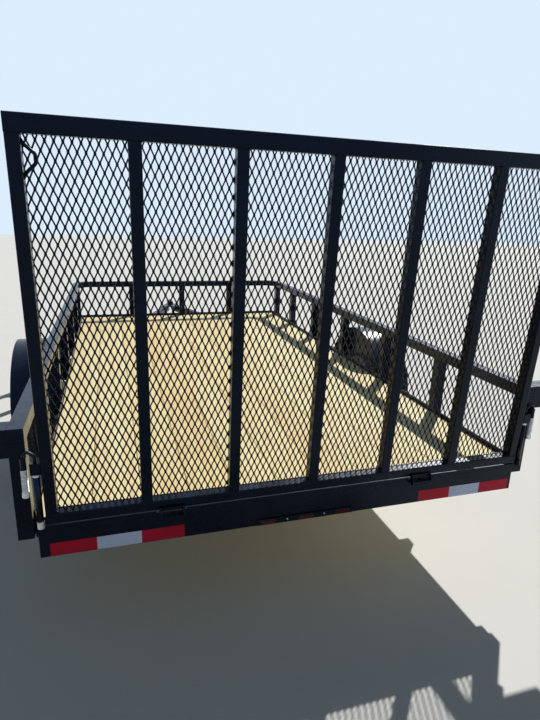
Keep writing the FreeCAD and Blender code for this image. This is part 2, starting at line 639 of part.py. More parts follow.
jack_leg = new_body("jack_leg_body")
inner = "(jack_radius - jack_wall - seat_gap)"
pad(jack_leg, "foot_plate", "XY_Plane", [("circle", jack_x, jack_y, "foot_radius")], "0", "foot_thick")
leg_tube = [("circle", jack_x, jack_y, inner), ("circle", jack_x, jack_y, f"{inner} - jack_wall")]
pad(jack_leg, "inner_tube", "XY_Plane", leg_tube, "foot_thick", f"{jack_bottom} + jack_lap - foot_thick")
on_leg(jack_leg)
keep("jack_leg", jack_leg)

# Axle: beam with spring seats, and a spindle at each end
axle = new_body("axle_body")
beam_end = f"({WHEEL_X} - hub_back - hub_room)"
spindle_end = f"({WHEEL_X} + spindle_length)"
beam = [("circle", AXLE, "tyre_radius", "axle_radius"), ("circle", AXLE, "tyre_radius", "axle_radius - axle_wall")]
pad(axle, "axle_beam_pad", "YZ_Plane", beam, f"-{beam_end}", f"2 * {beam_end}")
spindle = [("circle", AXLE, "tyre_radius", "spindle_radius")]
cap = [("circle", AXLE, "tyre_radius", "axle_radius")]
for side, sign in (("right", ""), ("left", "-")):
    low = f"{beam_end}" if side == "right" else f"-{beam_end} - axle_wall"
    pad(axle, "cap_" + side, "YZ_Plane", cap, low, "axle_wall")
    low = f"{beam_end}" if side == "right" else f"-{spindle_end}"
    pad(axle, "spindle_" + side, "YZ_Plane", spindle, low, f"{spindle_end} - {beam_end}")
    seat = box(f"{AXLE} - seat_half", "tyre_radius + axle_radius - seat_sink", f"{AXLE} + seat_half", SPRING_LOW)
    pad(axle, "seat_" + side, "YZ_Plane", [seat], f"{sign}{SPRING_X} - spring_width / 2", "spring_width")
keep("axle", axle)

# Leaf springs: three leaves bent to one centre above, with an eye at each end of the longest
spring = new_body("leaf_spring")
for number, share in ((0, 0.42), (1, 0.72), (2, 1.0)):
    low = f"(-spring_arch + {number} * leaf_thick)"
    leaf = box(f"{SPRING_X} - spring_width / 2", low, f"{SPRING_X} + spring_width / 2", f"{low} + leaf_thick")
    sweep = f"2 * {share} * asin(spring_half / spring_arch)"
    turn(spring, f"leaf_{number}", "XZ_Plane", [leaf], "H_Axis", ("0", f"{SPRING_LOW} + spring_arch"), f"-{AXLE}", sweep, True)
for end, sign in (("front", "+"), ("rear", "-")):
    eye = [("circle", f"{AXLE} {sign} spring_half", EYE_Z, "eye_radius")]
    pad(spring, f"eye_{end}", "YZ_Plane", eye, f"{SPRING_X} - spring_width / 2", "spring_width")
    hole = [("circle", f"{AXLE} {sign} spring_half", EYE_Z, "eye_bore")]
    pocket(spring, f"eye_hole_{end}", "YZ_Plane", hole, f"{SPRING_X} - spring_width / 2", "spring_width")
pair("leaf_springs", spring)

# Spring hangers under the side sills, with the bolt through the eye
hangers = new_body("hangers_body")
for end, sign in (("front", "+"), ("rear", "-")):
    cheek = [
        (f"{AXLE} {sign} spring_half - hanger_half", SILL_LOW),
        (f"{AXLE} {sign} spring_half - eye_radius", f"{EYE_Z} - eye_radius"),
        (f"{AXLE} {sign} spring_half + eye_radius", f"{EYE_Z} - eye_radius"),
        (f"{AXLE} {sign} spring_half + hanger_half", SILL_LOW),
    ]
    inner_face = "(spring_width / 2 + seat_gap)"
    pad(hangers, f"cheek_in_{end}", "YZ_Plane", [cheek], f"{SPRING_X} - {inner_face} - hanger_plate", "hanger_plate")
    pad(hangers, f"cheek_out_{end}", "YZ_Plane", [cheek], f"{SPRING_X} + {inner_face}", "hanger_plate")
    saddle = box(f"{AXLE} {sign} spring_half - hanger_half", f"{SILL_LOW} - hanger_plate", f"{AXLE} {sign} spring_half + hanger_half", SILL_LOW)
    saddle_half = f"({inner_face} + hanger_plate)"
    pad(hangers, f"saddle_{end}", "YZ_Plane", [saddle], f"{SPRING_X} - {saddle_half}", f"2 * {saddle_half}")
    bolt = [("circle", f"{AXLE} {sign} spring_half", EYE_Z, "eye_bore - seat_gap")]
    pad(hangers, f"bolt_{end}", "YZ_Plane", bolt, f"{SPRING_X} - {inner_face} - hanger_plate", f"2 * ({inner_face} + hanger_plate)")
pair("spring_hangers", hangers)

# Fender: a round arch with a closed inner side, an outer lip and two braces to the sill
fender = new_body("fender_body")
disc = [("circle", AXLE, "tyre_radius", FENDER_RADIUS)]
pad(fender, "inner_side", "YZ_Plane", disc, FENDER_IN, "fender_sheet")
beyond = f"1.1 * {FENDER_RADIUS}"
below = box(f"{AXLE} - {beyond}", f"tyre_radius - {beyond}", f"{AXLE} + {beyond}", "tyre_radius + fender_skirt")
pocket(fender, "inner_side_trim", "YZ_Plane", [below], FENDER_IN, "fender_sheet")
fender_out = f"({FENDER_IN} + {FENDER_WIDTH})"
arch = [
    (FENDER_IN, FENDER_RADIUS),
    (FENDER_IN, f"{FENDER_RADIUS} - fender_sheet"),
    (f"{fender_out} - fender_sheet", f"{FENDER_RADIUS} - fender_sheet"),
    (f"{fender_out} - fender_sheet", f"{FENDER_RADIUS} - fender_lip"),
    (fender_out, f"{FENDER_RADIUS} - fender_lip"),
    (fender_out, FENDER_RADIUS),
]
turn(fender, "arch", "XZ_Plane", [arch], "H_Axis", ("0", "tyre_radius"), f"-{AXLE}", "fender_angle", True)
brace_low = f"({DECK} - brace_drop - brace_height)"
brace_rise = f"({brace_low} + brace_height / 2 - tyre_radius)"
for end, sign in (("front", "+"), ("rear", "-")):
    middle_y = f"({AXLE} {sign} sqrt(pow({FENDER_RADIUS}; 2) - pow({brace_rise}; 2)))"
    foot = box(POST_IN, f"{middle_y} - brace_depth / 2", f"{FENDER_IN} + brace_bite", f"{middle_y} + brace_depth / 2")
    pad(fender, f"brace_{end}", "XY_Plane", [foot], brace_low, "brace_height")
keep("fender_right", fender)
mirrored("fender_left", fender)

# Wheel: hub, pressed steel rim and tyre, all turned about the spindle
hub = new_body("hub_body")
bore_radius = "(spindle_radius + running_fit)"
cap_end = "(hub_snout + cap_length)"
hub_line = [
    ("-hub_back", bore_radius), ("-hub_back", "hub_barrel"), ("-hub_flange", "hub_barrel"), ("-hub_flange", "hub_radius"),
    ("0", "hub_radius"), ("0", "pilot_radius - seat_gap"), ("hub_snout", "pilot_radius - seat_gap"), ("hub_snout", "cap_radius"),
    (cap_end, "cap_radius"), (cap_end, "0"), (f"{cap_end} - cap_wall", "0"), (f"{cap_end} - cap_wall", bore_radius),
]
turn(hub, "hub_turn", "XZ_Plane", [hub_line], "H_Axis", (WHEEL_X, "tyre_radius"), f"-{AXLE}")
keep("hub_right", hub)
mirrored("hub_left", hub)

rim = new_body("rim_body")
bore_line = "rim_radius - rim_wall"
flange_in = "(rim_width / 2 - rim_wall)"
barrel_line = [
    ("-rim_width / 2", bore_line), ("rim_width / 2", bore_line), ("rim_width / 2", "rim_radius + rim_flange"),
    (flange_in, "rim_radius + rim_flange"), (flange_in, "rim_radius"), (f"-{flange_in}", "rim_radius"),
    (f"-{flange_in}", "rim_radius + rim_flange"), ("-rim_width / 2", "rim_radius + rim_flange"),
]
disc_line = [
    ("0", "pilot_radius"), ("0", "disc_face"), ("disc_depth", "disc_face + disc_slope"), ("disc_depth", bore_line),
    ("disc_depth + rim_wall", bore_line), ("disc_depth + rim_wall", "disc_face + disc_slope"),
    ("rim_wall", "disc_face"), ("rim_wall", "pilot_radius"),
]
turn(rim, "rim_barrel", "XZ_Plane", [barrel_line], "H_Axis", (WHEEL_X, "tyre_radius"), f"-{AXLE}")
turn(rim, "rim_disc", "XZ_Plane", [disc_line], "H_Axis", (WHEEL_X, "tyre_radius"), f"-{AXLE}")
keep("rim_right", rim)
mirrored("rim_left", rim)

tyre = new_body("tyre_body")
seat = "(rim_width / 2 - 2 * rim_wall)"
tyre_line = [
    (f"-{seat}", "rim_radius"), ("-tyre_width / 2", "tyre_bulge"), ("-tread_width / 2", "tyre_radius"),
    ("tread_width / 2", "tyre_radius"), ("tyre_width / 2", "tyre_bulge"), (seat, "rim_radius"),
]
turn(tyre, "tyre_turn", "XZ_Plane", [tyre_line], "H_Axis", (WHEEL_X, "tyre_radius"), f"-{AXLE}")
keep("tyre_right", tyre)
mirrored("tyre_left", tyre)


# Ramp gate, drawn with its hinge axis through the origin and then leant back about it
def on_gate(thing):
    thing.setExpression("Placement.Base.x", bound("gate_shift"))
    thing.setExpression("Placement.Base.y", bound(HINGE_Y))
    thing.setExpression("Placement.Base.z", bound(HINGE_Z))
    thing.setExpression("Placement.Rotation.Angle", bound("gate_lean"))
    thing.Placement = FreeCAD.Placement(FreeCAD.Vector(), FreeCAD.Rotation(FreeCAD.Vector(1, 0, 0), 1))


def clipped(points, low_x, low_z, high_x, high_z):
    """The part of a convex outline that lies inside a rectangle."""
    sides = ((0, low_x, 1), (0, high_x, -1), (1, low_z, 1), (1, high_z, -1))
    for axis, limit, sign in sides:
        result = []
        for here, there in zip(points, points[1:] + points[:1]):
            a = sign * (here[axis] - limit)
            b = sign * (there[axis] - limit)
            if a >= 0:
                result.append(here)
            if a * b < 0:
                share = a / (a - b)
                result.append(tuple(here[k] + share * (there[k] - here[k]) for k in (0, 1)))
        points = result
        if len(points) < 3:
            return []
    return points


def strand_layer(slope, low_y, low_x, low_z, high_x, high_z):
    """One family of parallel mesh strands, each a flat bar, clipped to the rectangle."""
    short = VALUE["mesh_short"]
    rise = VALUE["mesh_long"] / short * slope
    half = VALUE["strand_width"] / 2 * math.sqrt(1 + rise * rise) / abs(rise)
    middle = (low_x + high_x) / 2
    reach = (high_x - low_x) / 2 + (high_z - low_z) / abs(rise)
    strands = []
    count = int(reach / short) + 1
    for number in range(-count, count + 1):
        foot = middle + number * short
        shift = (high_z - low_z) / rise
        outline = [(foot - half, low_z), (foot + half, low_z), (foot + half + shift, high_z), (foot - half + shift, high_z)]
        outline = clipped(outline, low_x, low_z, high_x, high_z)
        if outline:
            corners = [FreeCAD.Vector(x, low_y, z) for x, z in outline]
            face = Part.Face(Part.makePolygon(corners + corners[:1]))
            strands.append(face.extrude(FreeCAD.Vector(0, VALUE["strand_thick"], 0)))
    return strands


half_gate = VALUE["deck_width"] / 2 - VALUE["gate_play"]
gate_low = VALUE["gate_rise"]
gate_high = gate_low + VALUE["gate_height"]
gate_rear = VALUE["gate_setback"]
bar = VALUE["gate_tube"]
mesh_front = gate_rear + bar


def tube_along(corner_point, size, direction):
    """A hollow tube as a box less its core, open at its ends."""
    outer = Part.makeBox(*size, corner_point)
    wall = VALUE["tube_wall"]
    inner_size = [size[k] if k == direction else size[k] - 2 * wall for k in range(3)]
    inner_corner = FreeCAD.Vector(*[corner_point[k] if k == direction else corner_point[k] + wall for k in range(3)])
    return outer.cut(Part.makeBox(*inner_size, inner_corner))


side_low = gate_low + bar
side_high = gate_high - VALUE["gate_top_tube"]
left_side = tube_along(FreeCAD.Vector(-half_gate, gate_rear, side_low), [bar, bar, side_high - side_low], 2)
right_side = tube_along(FreeCAD.Vector(half_gate - bar, gate_rear, side_low), [bar, bar, side_high - side_low], 2)
bottom = tube_along(FreeCAD.Vector(-half_gate, gate_rear, gate_low), [2 * half_gate, bar, bar], 0)
top_size = [2 * half_gate, bar, VALUE["gate_top_tube"]]
top = tube_along(FreeCAD.Vector(-half_gate, gate_rear, side_high), top_size, 0)
open_left = -half_gate + bar
open_right = half_gate - bar
edge = VALUE["edging_width"]
edging_outer = Part.makeBox(
    open_right - open_left + 2 * edge, VALUE["edging_thick"], side_high - side_low + 2 * edge,
    FreeCAD.Vector(open_left - edge, mesh_front, side_low - edge))
edging_inner = Part.makeBox(
    open_right - open_left, VALUE["edging_thick"], side_high - side_low, FreeCAD.Vector(open_left, mesh_front, side_low))
edging = edging_outer.cut(edging_inner)
handle_reach = VALUE["handle_radius"] + 2 * VALUE["handle_rod"]
handle_middle = gate_high - VALUE["handle_drop"]
handle_ring = Part.makeTorus(
    VALUE["handle_radius"], VALUE["handle_rod"],
    FreeCAD.Vector(open_left - VALUE["handle_sink"], gate_rear + bar / 2, handle_middle), FreeCAD.Vector(0, 1, 0))
clear_side = Part.makeBox(
    handle_reach, bar, 2 * handle_reach, FreeCAD.Vector(open_left - VALUE["tube_wall"], gate_rear, handle_middle - handle_reach))
handle = handle_ring.common(clear_side)
bite = VALUE["strand_bite"]
mesh_start = mesh_front + VALUE["mesh_gap"]
first_layer = strand_layer(1, mesh_start, open_left - bite, side_low - bite, open_right + bite, side_high + bite)
second_start = mesh_start + VALUE["strand_thick"] + VALUE["strand_gap"]
second_layer = strand_layer(-1, second_start, open_left - bite, side_low - bite, open_right + bite, side_high + bite)
frame_shape = left_side.multiFuse([right_side, bottom, top, edging, handle] + first_layer + second_layer)
gate_frame = doc.addObject("Part::Feature", "gate_frame_feature")
gate_frame.Shape = frame_shape.Solids[0] if len(frame_shape.Solids) == 1 else frame_shape
on_gate(gate_frame)
keep("gate_frame", gate_frame)

uprights = new_body("uprights_body")
step = f"((2 * {GATE_HALF} - gate_tube) / (upright_count + 1))"
first = f"({step} - {GATE_HALF})"
section = tube_section(first, "gate_setback", "gate_tube", "gate_tube", "tube_wall")
upright_run = "gate_height - gate_tube - gate_top_tube"
pad(uprights, "upright", "XY_Plane", section, "gate_rise + gate_tube", upright_run)
bars = uprights.newObject("PartDesign::LinearPattern", "upright_row")
bars.Originals = [uprights.getObject("upright")]
bars.Direction = (origin_plane(uprights, "YZ_Plane"), [""])
bars.setExpression("Length", bound(f"{step} * (upright_count - 1)"))
bars.setExpression("Occurrences", bound("upright_count"))
uprights.Tip = bars
on_gate(uprights)
keep("gate_uprights", uprights)

# Hinges: a bored block on the rear sill, and on the gate two lugs with the pin and a plate between them
blocks = new_body("barrels_body")
pins = new_body("pins_body")
for side, sign in (("right", "+"), ("left", "-")):
    low = f"(hinge_shift {sign} hinge_pitch / 2 - hinge_length / 2)"
    block = box(f"{HINGE_Y} - hinge_half", f"{HINGE_Z} - hinge_half", "rear_y", f"{HINGE_Z} + hinge_half")
    pad(blocks, f"block_{side}", "YZ_Plane", [block], low, "hinge_length")
    bore = [("circle", HINGE_Y, HINGE_Z, "hinge_pin + running_fit")]
    pocket(blocks, f"bore_{side}", "YZ_Plane", bore, low, "hinge_length")
    first_lug = f"({low} - gate_shift - lug_gap - lug_thick)"
    lug = [
        ("-lug_radius", "0"), ("lug_radius", "0"), ("lug_radius", "lug_neck"), ("gate_setback", "gate_rise"),
        ("gate_setback", "gate_rise + lug_lap"), ("gate_setback - lug_thick", "gate_rise + lug_lap"), ("-lug_radius", "lug_neck"),
    ]
    second_lug = f"{first_lug} + lug_thick + hinge_length + 2 * lug_gap"
    for place, start in (("a", first_lug), ("b", second_lug)):
        pad(pins, f"lug_{side}_{place}", "YZ_Plane", [lug], start, "lug_thick")
        pad(pins, f"lug_end_{side}_{place}", "YZ_Plane", [("circle", "0", "0", "lug_radius")], start, "lug_thick")
    across = "hinge_length + 2 * lug_gap + 2 * lug_thick"
    pad(pins, f"pin_{side}", "YZ_Plane", [("circle", "0", "0", "hinge_pin")], first_lug, across)
    plate = box("gate_setback - lug_thick", "gate_rise", "gate_setback", "gate_rise + lug_lap")
    pad(pins, f"plate_{side}", "YZ_Plane", [plate], first_lug, across)
keep("hinge_barrels", blocks)
on_gate(pins)
keep("gate_hinge_lugs", pins)

# Gate latches: a bowed rod on each rear post, its short leg in a sleeve over a spring
rods = new_body("rods_body")
sleeves = new_body("sleeves_body")
latch_y = f"({RAIL_REAR} - latch_depth)"
bow_top = f"({RAIL_TOP} - latch_drop)"
bow_low = f"({bow_top} - latch_rod - latch_span / 2)"
coil_top = f"({bow_top} - sleeve_drop - sleeve_height)"
short_low = f"({bow_top} - latch_short)"
long_low = f"({bow_top} - latch_long)"
grip_top = f"({bow_top} - grip_drop)"
bow_out = "(latch_span / 2 + latch_rod)"
bow_in = "(latch_span / 2 - latch_rod)"
# outline of the bow: across and up, as shares of its outer or inner radius
BOW = [
    (-1, 0, bow_out), (-1, 0.414, bow_out), (-0.414, 1, bow_out), (0.414, 1, bow_out), (1, 0.414, bow_out), (1, 0, bow_out),
    (1, 0, bow_in), (1, 0.414, bow_in), (0.414, 1, bow_in), (-0.414, 1, bow_in), (-1, 0.414, bow_in), (-1, 0, bow_in),
]
for side, sign, outward in (("left", "-", "-"), ("right", "+", "+")):
    long_x = f"(gate_shift {sign} ({GATE_HALF} + latch_out))"
    short_x = f"({long_x} {outward} latch_span)"
    leg_short = [("circle", short_x, latch_y, "latch_rod")]
    pad(rods, f"short_{side}", "XY_Plane", leg_short, short_low, f"{bow_low} - {short_low}")
    leg_long = [("circle", long_x, latch_y, "latch_rod")]
    pad(rods, f"long_{side}", "XY_Plane", leg_long, long_low, f"{bow_low} - {long_low}")
    bow_middle = f"({long_x} {outward} latch_span / 2)"
    bow = [(f"{bow_middle} + {across} * {reach}", f"{bow_low} + {up} * {reach}") for across, up, reach in BOW]
    pad(rods, f"bow_{side}", "XZ_Plane", [bow], f"{latch_y} - latch_rod", "2 * latch_rod")
    pad(rods, f"coil_{side}", "XY_Plane", [("circle", short_x, latch_y, "spring_coil")], short_low, f"{coil_top} - {short_low}")
    pad(rods, f"grip_{side}", "XY_Plane", [("circle", long_x, latch_y, "grip_radius")], long_low, f"{grip_top} - {long_low}")
    block = box(f"{short_x} - latch_sleeve", latch_y, f"{short_x} + latch_sleeve", RAIL_REAR)
    pad(sleeves, f"sleeve_block_{side}", "XY_Plane", [block], coil_top, "sleeve_height")
    pad(sleeves, f"sleeve_{side}", "XY_Plane", [("circle", short_x, latch_y, "latch_sleeve")], coil_top, "sleeve_height")
    hole = [("circle", short_x, latch_y, "latch_rod + seat_gap")]
    pocket(sleeves, f"sleeve_hole_{side}", "XY_Plane", hole, coil_top, "sleeve_height")
keep("latch_rods", rods)
keep("latch_sleeves", sleeves)

# Keepers on the gate, each a channel open to the front around the long leg of a latch
keepers = new_body("keepers_body")
keeper_low = f"({bow_top} - keeper_drop - {HINGE_Z})"
for side, start in (("left", f"-{GATE_HALF} - keeper_width"), ("right", GATE_HALF)):
    shell = box(start, "gate_setback", f"{start} + keeper_width", "gate_setback + keeper_depth")
    pad(keepers, f"keeper_{side}", "XY_Plane", [shell], keeper_low, "keeper_height")
    core = box(
        f"{start} + keeper_wall", "gate_setback + keeper_wall",
        f"{start} + keeper_width - keeper_wall", "gate_setback + keeper_depth",
    )
    pocket(keepers, f"keeper_core_{side}", "XY_Plane", [core], keeper_low, "keeper_height")
on_gate(keepers)
keep("latch_keepers", keepers)

doc.recompute()
problems = [f"{thing.Name}: {thing.State}" for thing in doc.Objects if "Invalid" in thing.State or "Error" in thing.State]
for label, thing in PARTS.items():
    if thing.Shape.isNull() or not thing.Shape.isValid():
        problems.append(f"{label}: shape")
if problems:
    raise RuntimeError("; ".join(problems))
for label, thing in sorted(PARTS.items()):
    thing.Shape.exportStep(f"parts/{label}.step")
    print(label, len(thing.Shape.Solids), round(thing.Shape.Volume / 1e6, 2), thing.Shape.BoundBox)
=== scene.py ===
import json
import math
import random

import bmesh
import bpy
from mathutils import Matrix, Vector


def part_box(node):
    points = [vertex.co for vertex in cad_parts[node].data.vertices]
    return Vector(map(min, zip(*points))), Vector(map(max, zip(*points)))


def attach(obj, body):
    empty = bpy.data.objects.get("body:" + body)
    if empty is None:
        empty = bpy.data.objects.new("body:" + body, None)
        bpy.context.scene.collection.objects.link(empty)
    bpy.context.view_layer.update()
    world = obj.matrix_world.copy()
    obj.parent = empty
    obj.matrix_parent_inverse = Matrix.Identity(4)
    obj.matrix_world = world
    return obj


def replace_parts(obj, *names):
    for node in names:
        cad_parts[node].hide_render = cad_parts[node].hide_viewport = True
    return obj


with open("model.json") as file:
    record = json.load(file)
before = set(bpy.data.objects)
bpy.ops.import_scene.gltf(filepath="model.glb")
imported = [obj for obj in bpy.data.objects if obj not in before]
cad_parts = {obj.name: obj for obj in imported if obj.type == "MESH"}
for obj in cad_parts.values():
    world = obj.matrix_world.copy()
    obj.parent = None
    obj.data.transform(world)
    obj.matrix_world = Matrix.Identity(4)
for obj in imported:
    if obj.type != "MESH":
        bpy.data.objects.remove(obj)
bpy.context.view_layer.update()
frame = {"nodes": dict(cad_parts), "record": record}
random.seed(7)

# Every length is in metres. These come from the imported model.
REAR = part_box("rear_sill")[0][1]
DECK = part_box("deck_boards")[1][2]
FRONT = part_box("front_sill")[1][1]
TYRE_LOW, TYRE_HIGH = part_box("tyre_right")
WHEEL_X = (TYRE_LOW[0] + TYRE_HIGH[0]) / 2
AXLE_Y = (TYRE_LOW[1] + TYRE_HIGH[1]) / 2
AXLE_Z = TYRE_HIGH[2] / 2
TYRE_R = AXLE_Z
RIM_R = 0.190

# The gate is drawn upright from its hinge line, and GATE leans it into its place.
HINGE = Vector((0.018, REAR - 0.014, 0.500))
GATE = Matrix.Translation(HINGE) @ Matrix.Rotation(math.radians(3.27), 4, "X")
GATE_HALF = 0.9625  # half of its width
GATE_LOW = 0.0225
GATE_HIGH = 1.2915
GATE_BAR = 0.038  # width of its tubes, and their depth
GATE_TOP = 0.051  # height of the top tube
GATE_REAR = 0.0175
GATE_FRONT = GATE_REAR + GATE_BAR
OPEN_HALF = GATE_HALF - GATE_BAR
OPEN_LOW = GATE_LOW + GATE_BAR
OPEN_HIGH = GATE_HIGH - GATE_TOP
UPRIGHTS = 5
MESH_SHORT = 0.0236
MESH_LONG = 0.0512

# The deck, with the values that its solids were built from
DECK_LENGTH = 3.658
DECK_WIDTH = 1.964
SILL_THICK = 0.005
BOARD_COUNT = 11
BOARD_PLAY = 0.002
BOARD_GAP = 0.003
END_BOARD = 0.184
BOARDS_LEFT = BOARD_PLAY - DECK_WIDTH / 2
BOARD_PITCH = (DECK_WIDTH - 2 * BOARD_PLAY - (BOARD_COUNT - 1) * BOARD_GAP) / BOARD_COUNT + BOARD_GAP
MEMBERS = 8
FIRST_MEMBER = 0.053
POSTS = (0.657, 1.2496, 1.8802, 2.4998, 3.0834, 3.590)  # middles of the side posts, from REAR
FRONT_POSTS = (-0.5, 0.0, 0.5)
TUBE_HALF = 0.0255  # of the posts, and of a crossmember's flange

# Marker lamps on the rear sill
ID_PITCH = 0.155
ID_SHIFT = -0.007

# Latches: each short leg's x, and the side of it on which the long leg stands
LATCH_LEGS = ((-0.9955, 1), (1.0315, -1))
LATCH_WIDTH = 0.035
LATCH_Y = REAR + 0.003
LATCH_TOP = 0.7955
GRIP_LOW = 0.541
GRIP_HIGH = 0.7075


# Materials
class Maker:
    """Short calls for one material's nodes."""

    def __init__(self, name):
        self.material = bpy.data.materials.new(name)
        self.material.use_nodes = True
        self.tree = self.material.node_tree
        self.tree.nodes.clear()
        out = self.add("ShaderNodeOutputMaterial")
        self.shader = self.add("ShaderNodeBsdfPrincipled")
        self.link(self.shader.outputs[0], out.inputs["Surface"])
        self.place = self.add("ShaderNodeTexCoord").outputs["Object"]

    def add(self, kind, **settings):
        node = self.tree.nodes.new(kind)
        for key, value in settings.items():
            setattr(node, key, value)
        return node

    def link(self, source, target):
        self.tree.links.new(source, target)

    def put(self, socket, value):
        """Link an output, or set a plain value."""
        if hasattr(value, "is_output"):
            self.link(value, socket)
        else:
            socket.default_value = value

    def stretch(self, scale, source=None, shift=(0, 0, 0)):
        node = self.add("ShaderNodeMapping")
        self.link(source or self.place, node.inputs["Vector"])
        node.inputs["Scale"].default_value = scale
        node.inputs["Location"].default_value = shift
        return node.outputs[0]

    def noise(self, scale, detail=3.0, rough=0.55, source=None):
        node = self.add("ShaderNodeTexNoise")
        self.link(source or self.place, node.inputs["Vector"])
        node.inputs["Scale"].default_value = scale
        node.inputs["Detail"].default_value = detail
        node.inputs["Roughness"].default_value = rough
        return node.outputs["Fac"]

    def voronoi(self, scale, source=None, feature="F1", out="Distance", randomness=1.0):
        node = self.add("ShaderNodeTexVoronoi", feature=feature)
        self.link(source or self.place, node.inputs["Vector"])
        node.inputs["Scale"].default_value = scale
        node.inputs["Randomness"].default_value = randomness
        return node.outputs[out]

    def math(self, kind, a, b=0.0):
        node = self.add("ShaderNodeMath", operation=kind)
        self.put(node.inputs[0], a)
        self.put(node.inputs[1], b)
        return node.outputs[0]

    def times(self, a, b):
        return self.math("MULTIPLY", a, b)

    def plus(self, a, b):
        return self.math("ADD", a, b)

    def span(self, value, low, high, new_low=0.0, new_high=1.0):
        """Map low to high onto new_low to new_high, held at both ends."""
        node = self.add("ShaderNodeMapRange")
        self.put(node.inputs["Value"], value)
        for key, number in (
            ("From Min", low), ("From Max", high), ("To Min", new_low), ("To Max", new_high),
        ):
            node.inputs[key].default_value = number
        return node.outputs[0]

    def mix(self, factor, a, b):
        node = self.add("ShaderNodeMix", data_type="RGBA")
        self.put(node.inputs[0], factor)
        self.put(node.inputs[6], a)
        self.put(node.inputs[7], b)
        return node.outputs[2]

    def combine(self, x, y, z):
        node = self.add("ShaderNodeCombineXYZ")
        for socket, value in zip(node.inputs, (x, y, z)):
            self.put(socket, value)
        return node.outputs[0]

    def split(self, source=None):
        node = self.add("ShaderNodeSeparateXYZ")
        self.link(source or self.place, node.inputs[0])
        return node.outputs

    def bump(self, height, strength, distance, below=None):
        node = self.add("ShaderNodeBump")
        node.inputs["Strength"].default_value = strength
        node.inputs["Distance"].default_value = distance
        self.put(node.inputs["Height"], height)
        if below is not None:
            self.link(below, node.inputs["Normal"])
        return node.outputs[0]

    def finish(self, base, rough, normal=None, **sockets):
        """Fill the shader: what varies is linked, and the rest is set on its own sockets."""
        self.put(self.shader.inputs["Base Color"], base)
        self.put(self.shader.inputs["Roughness"], rough)
        if normal is not None:
            self.link(normal, self.shader.inputs["Normal"])
        for key, value in sockets.items():
            self.shader.inputs[key.replace("_", " ")].default_value = value
        return self.material


def color(r, g, b):
    return (r, g, b, 1.0)


def paint_material(name, shine):
    """Gloss black powder coat with orange peel and thin scuffs, and a patchy film on upward faces that roughens
    them like dust and tints them blue, which is a painted sky reflection; its reflections are tinted blue too, a
    painted sky colour.
    """
    m = Maker(name)
    black, painted_sky_reflection, scuffed = color(0.0024, 0.0034, 0.0068), color(0.03, 0.08, 0.24), color(0.14, 0.14, 0.15)
    # The film on upward faces is rough like dust, but its blue colour is a painted sky reflection.
    upward = m.split(m.add("ShaderNodeNewGeometry").outputs["Normal"])[2]
    dust = m.span(m.noise(9.0, 5.0, 0.6), 0.42, 0.75)
    film = m.times(dust, m.span(upward, 0.2, 1.0, 0.25, 1.0))
    base = m.mix(m.times(film, 0.20), black, painted_sky_reflection)
    scuffs = m.span(m.noise(1.0, 2.0, 0.5, m.stretch((900, 30, 260))), 0.69, 0.73)
    patches = m.span(m.noise(4.0, 2.0), 0.52, 0.62)
    base = m.mix(m.times(m.times(scuffs, patches), 0.35), base, scuffed)
    rough = m.plus(m.span(m.noise(30.0, 4.0), 0.3, 0.7, 0.20, 0.30), m.times(film, 0.22))
    peel = m.bump(m.noise(420.0, 1.0), 0.10, 0.0004)
    waves = m.bump(m.noise(26.0, 1.0), 0.05, 0.002, peel)
    # The blue tint of the reflections is a painted sky colour.
    return m.finish(base, rough, waves, Specular_IOR_Level=shine, Specular_Tint=color(0.13, 0.19, 0.32))


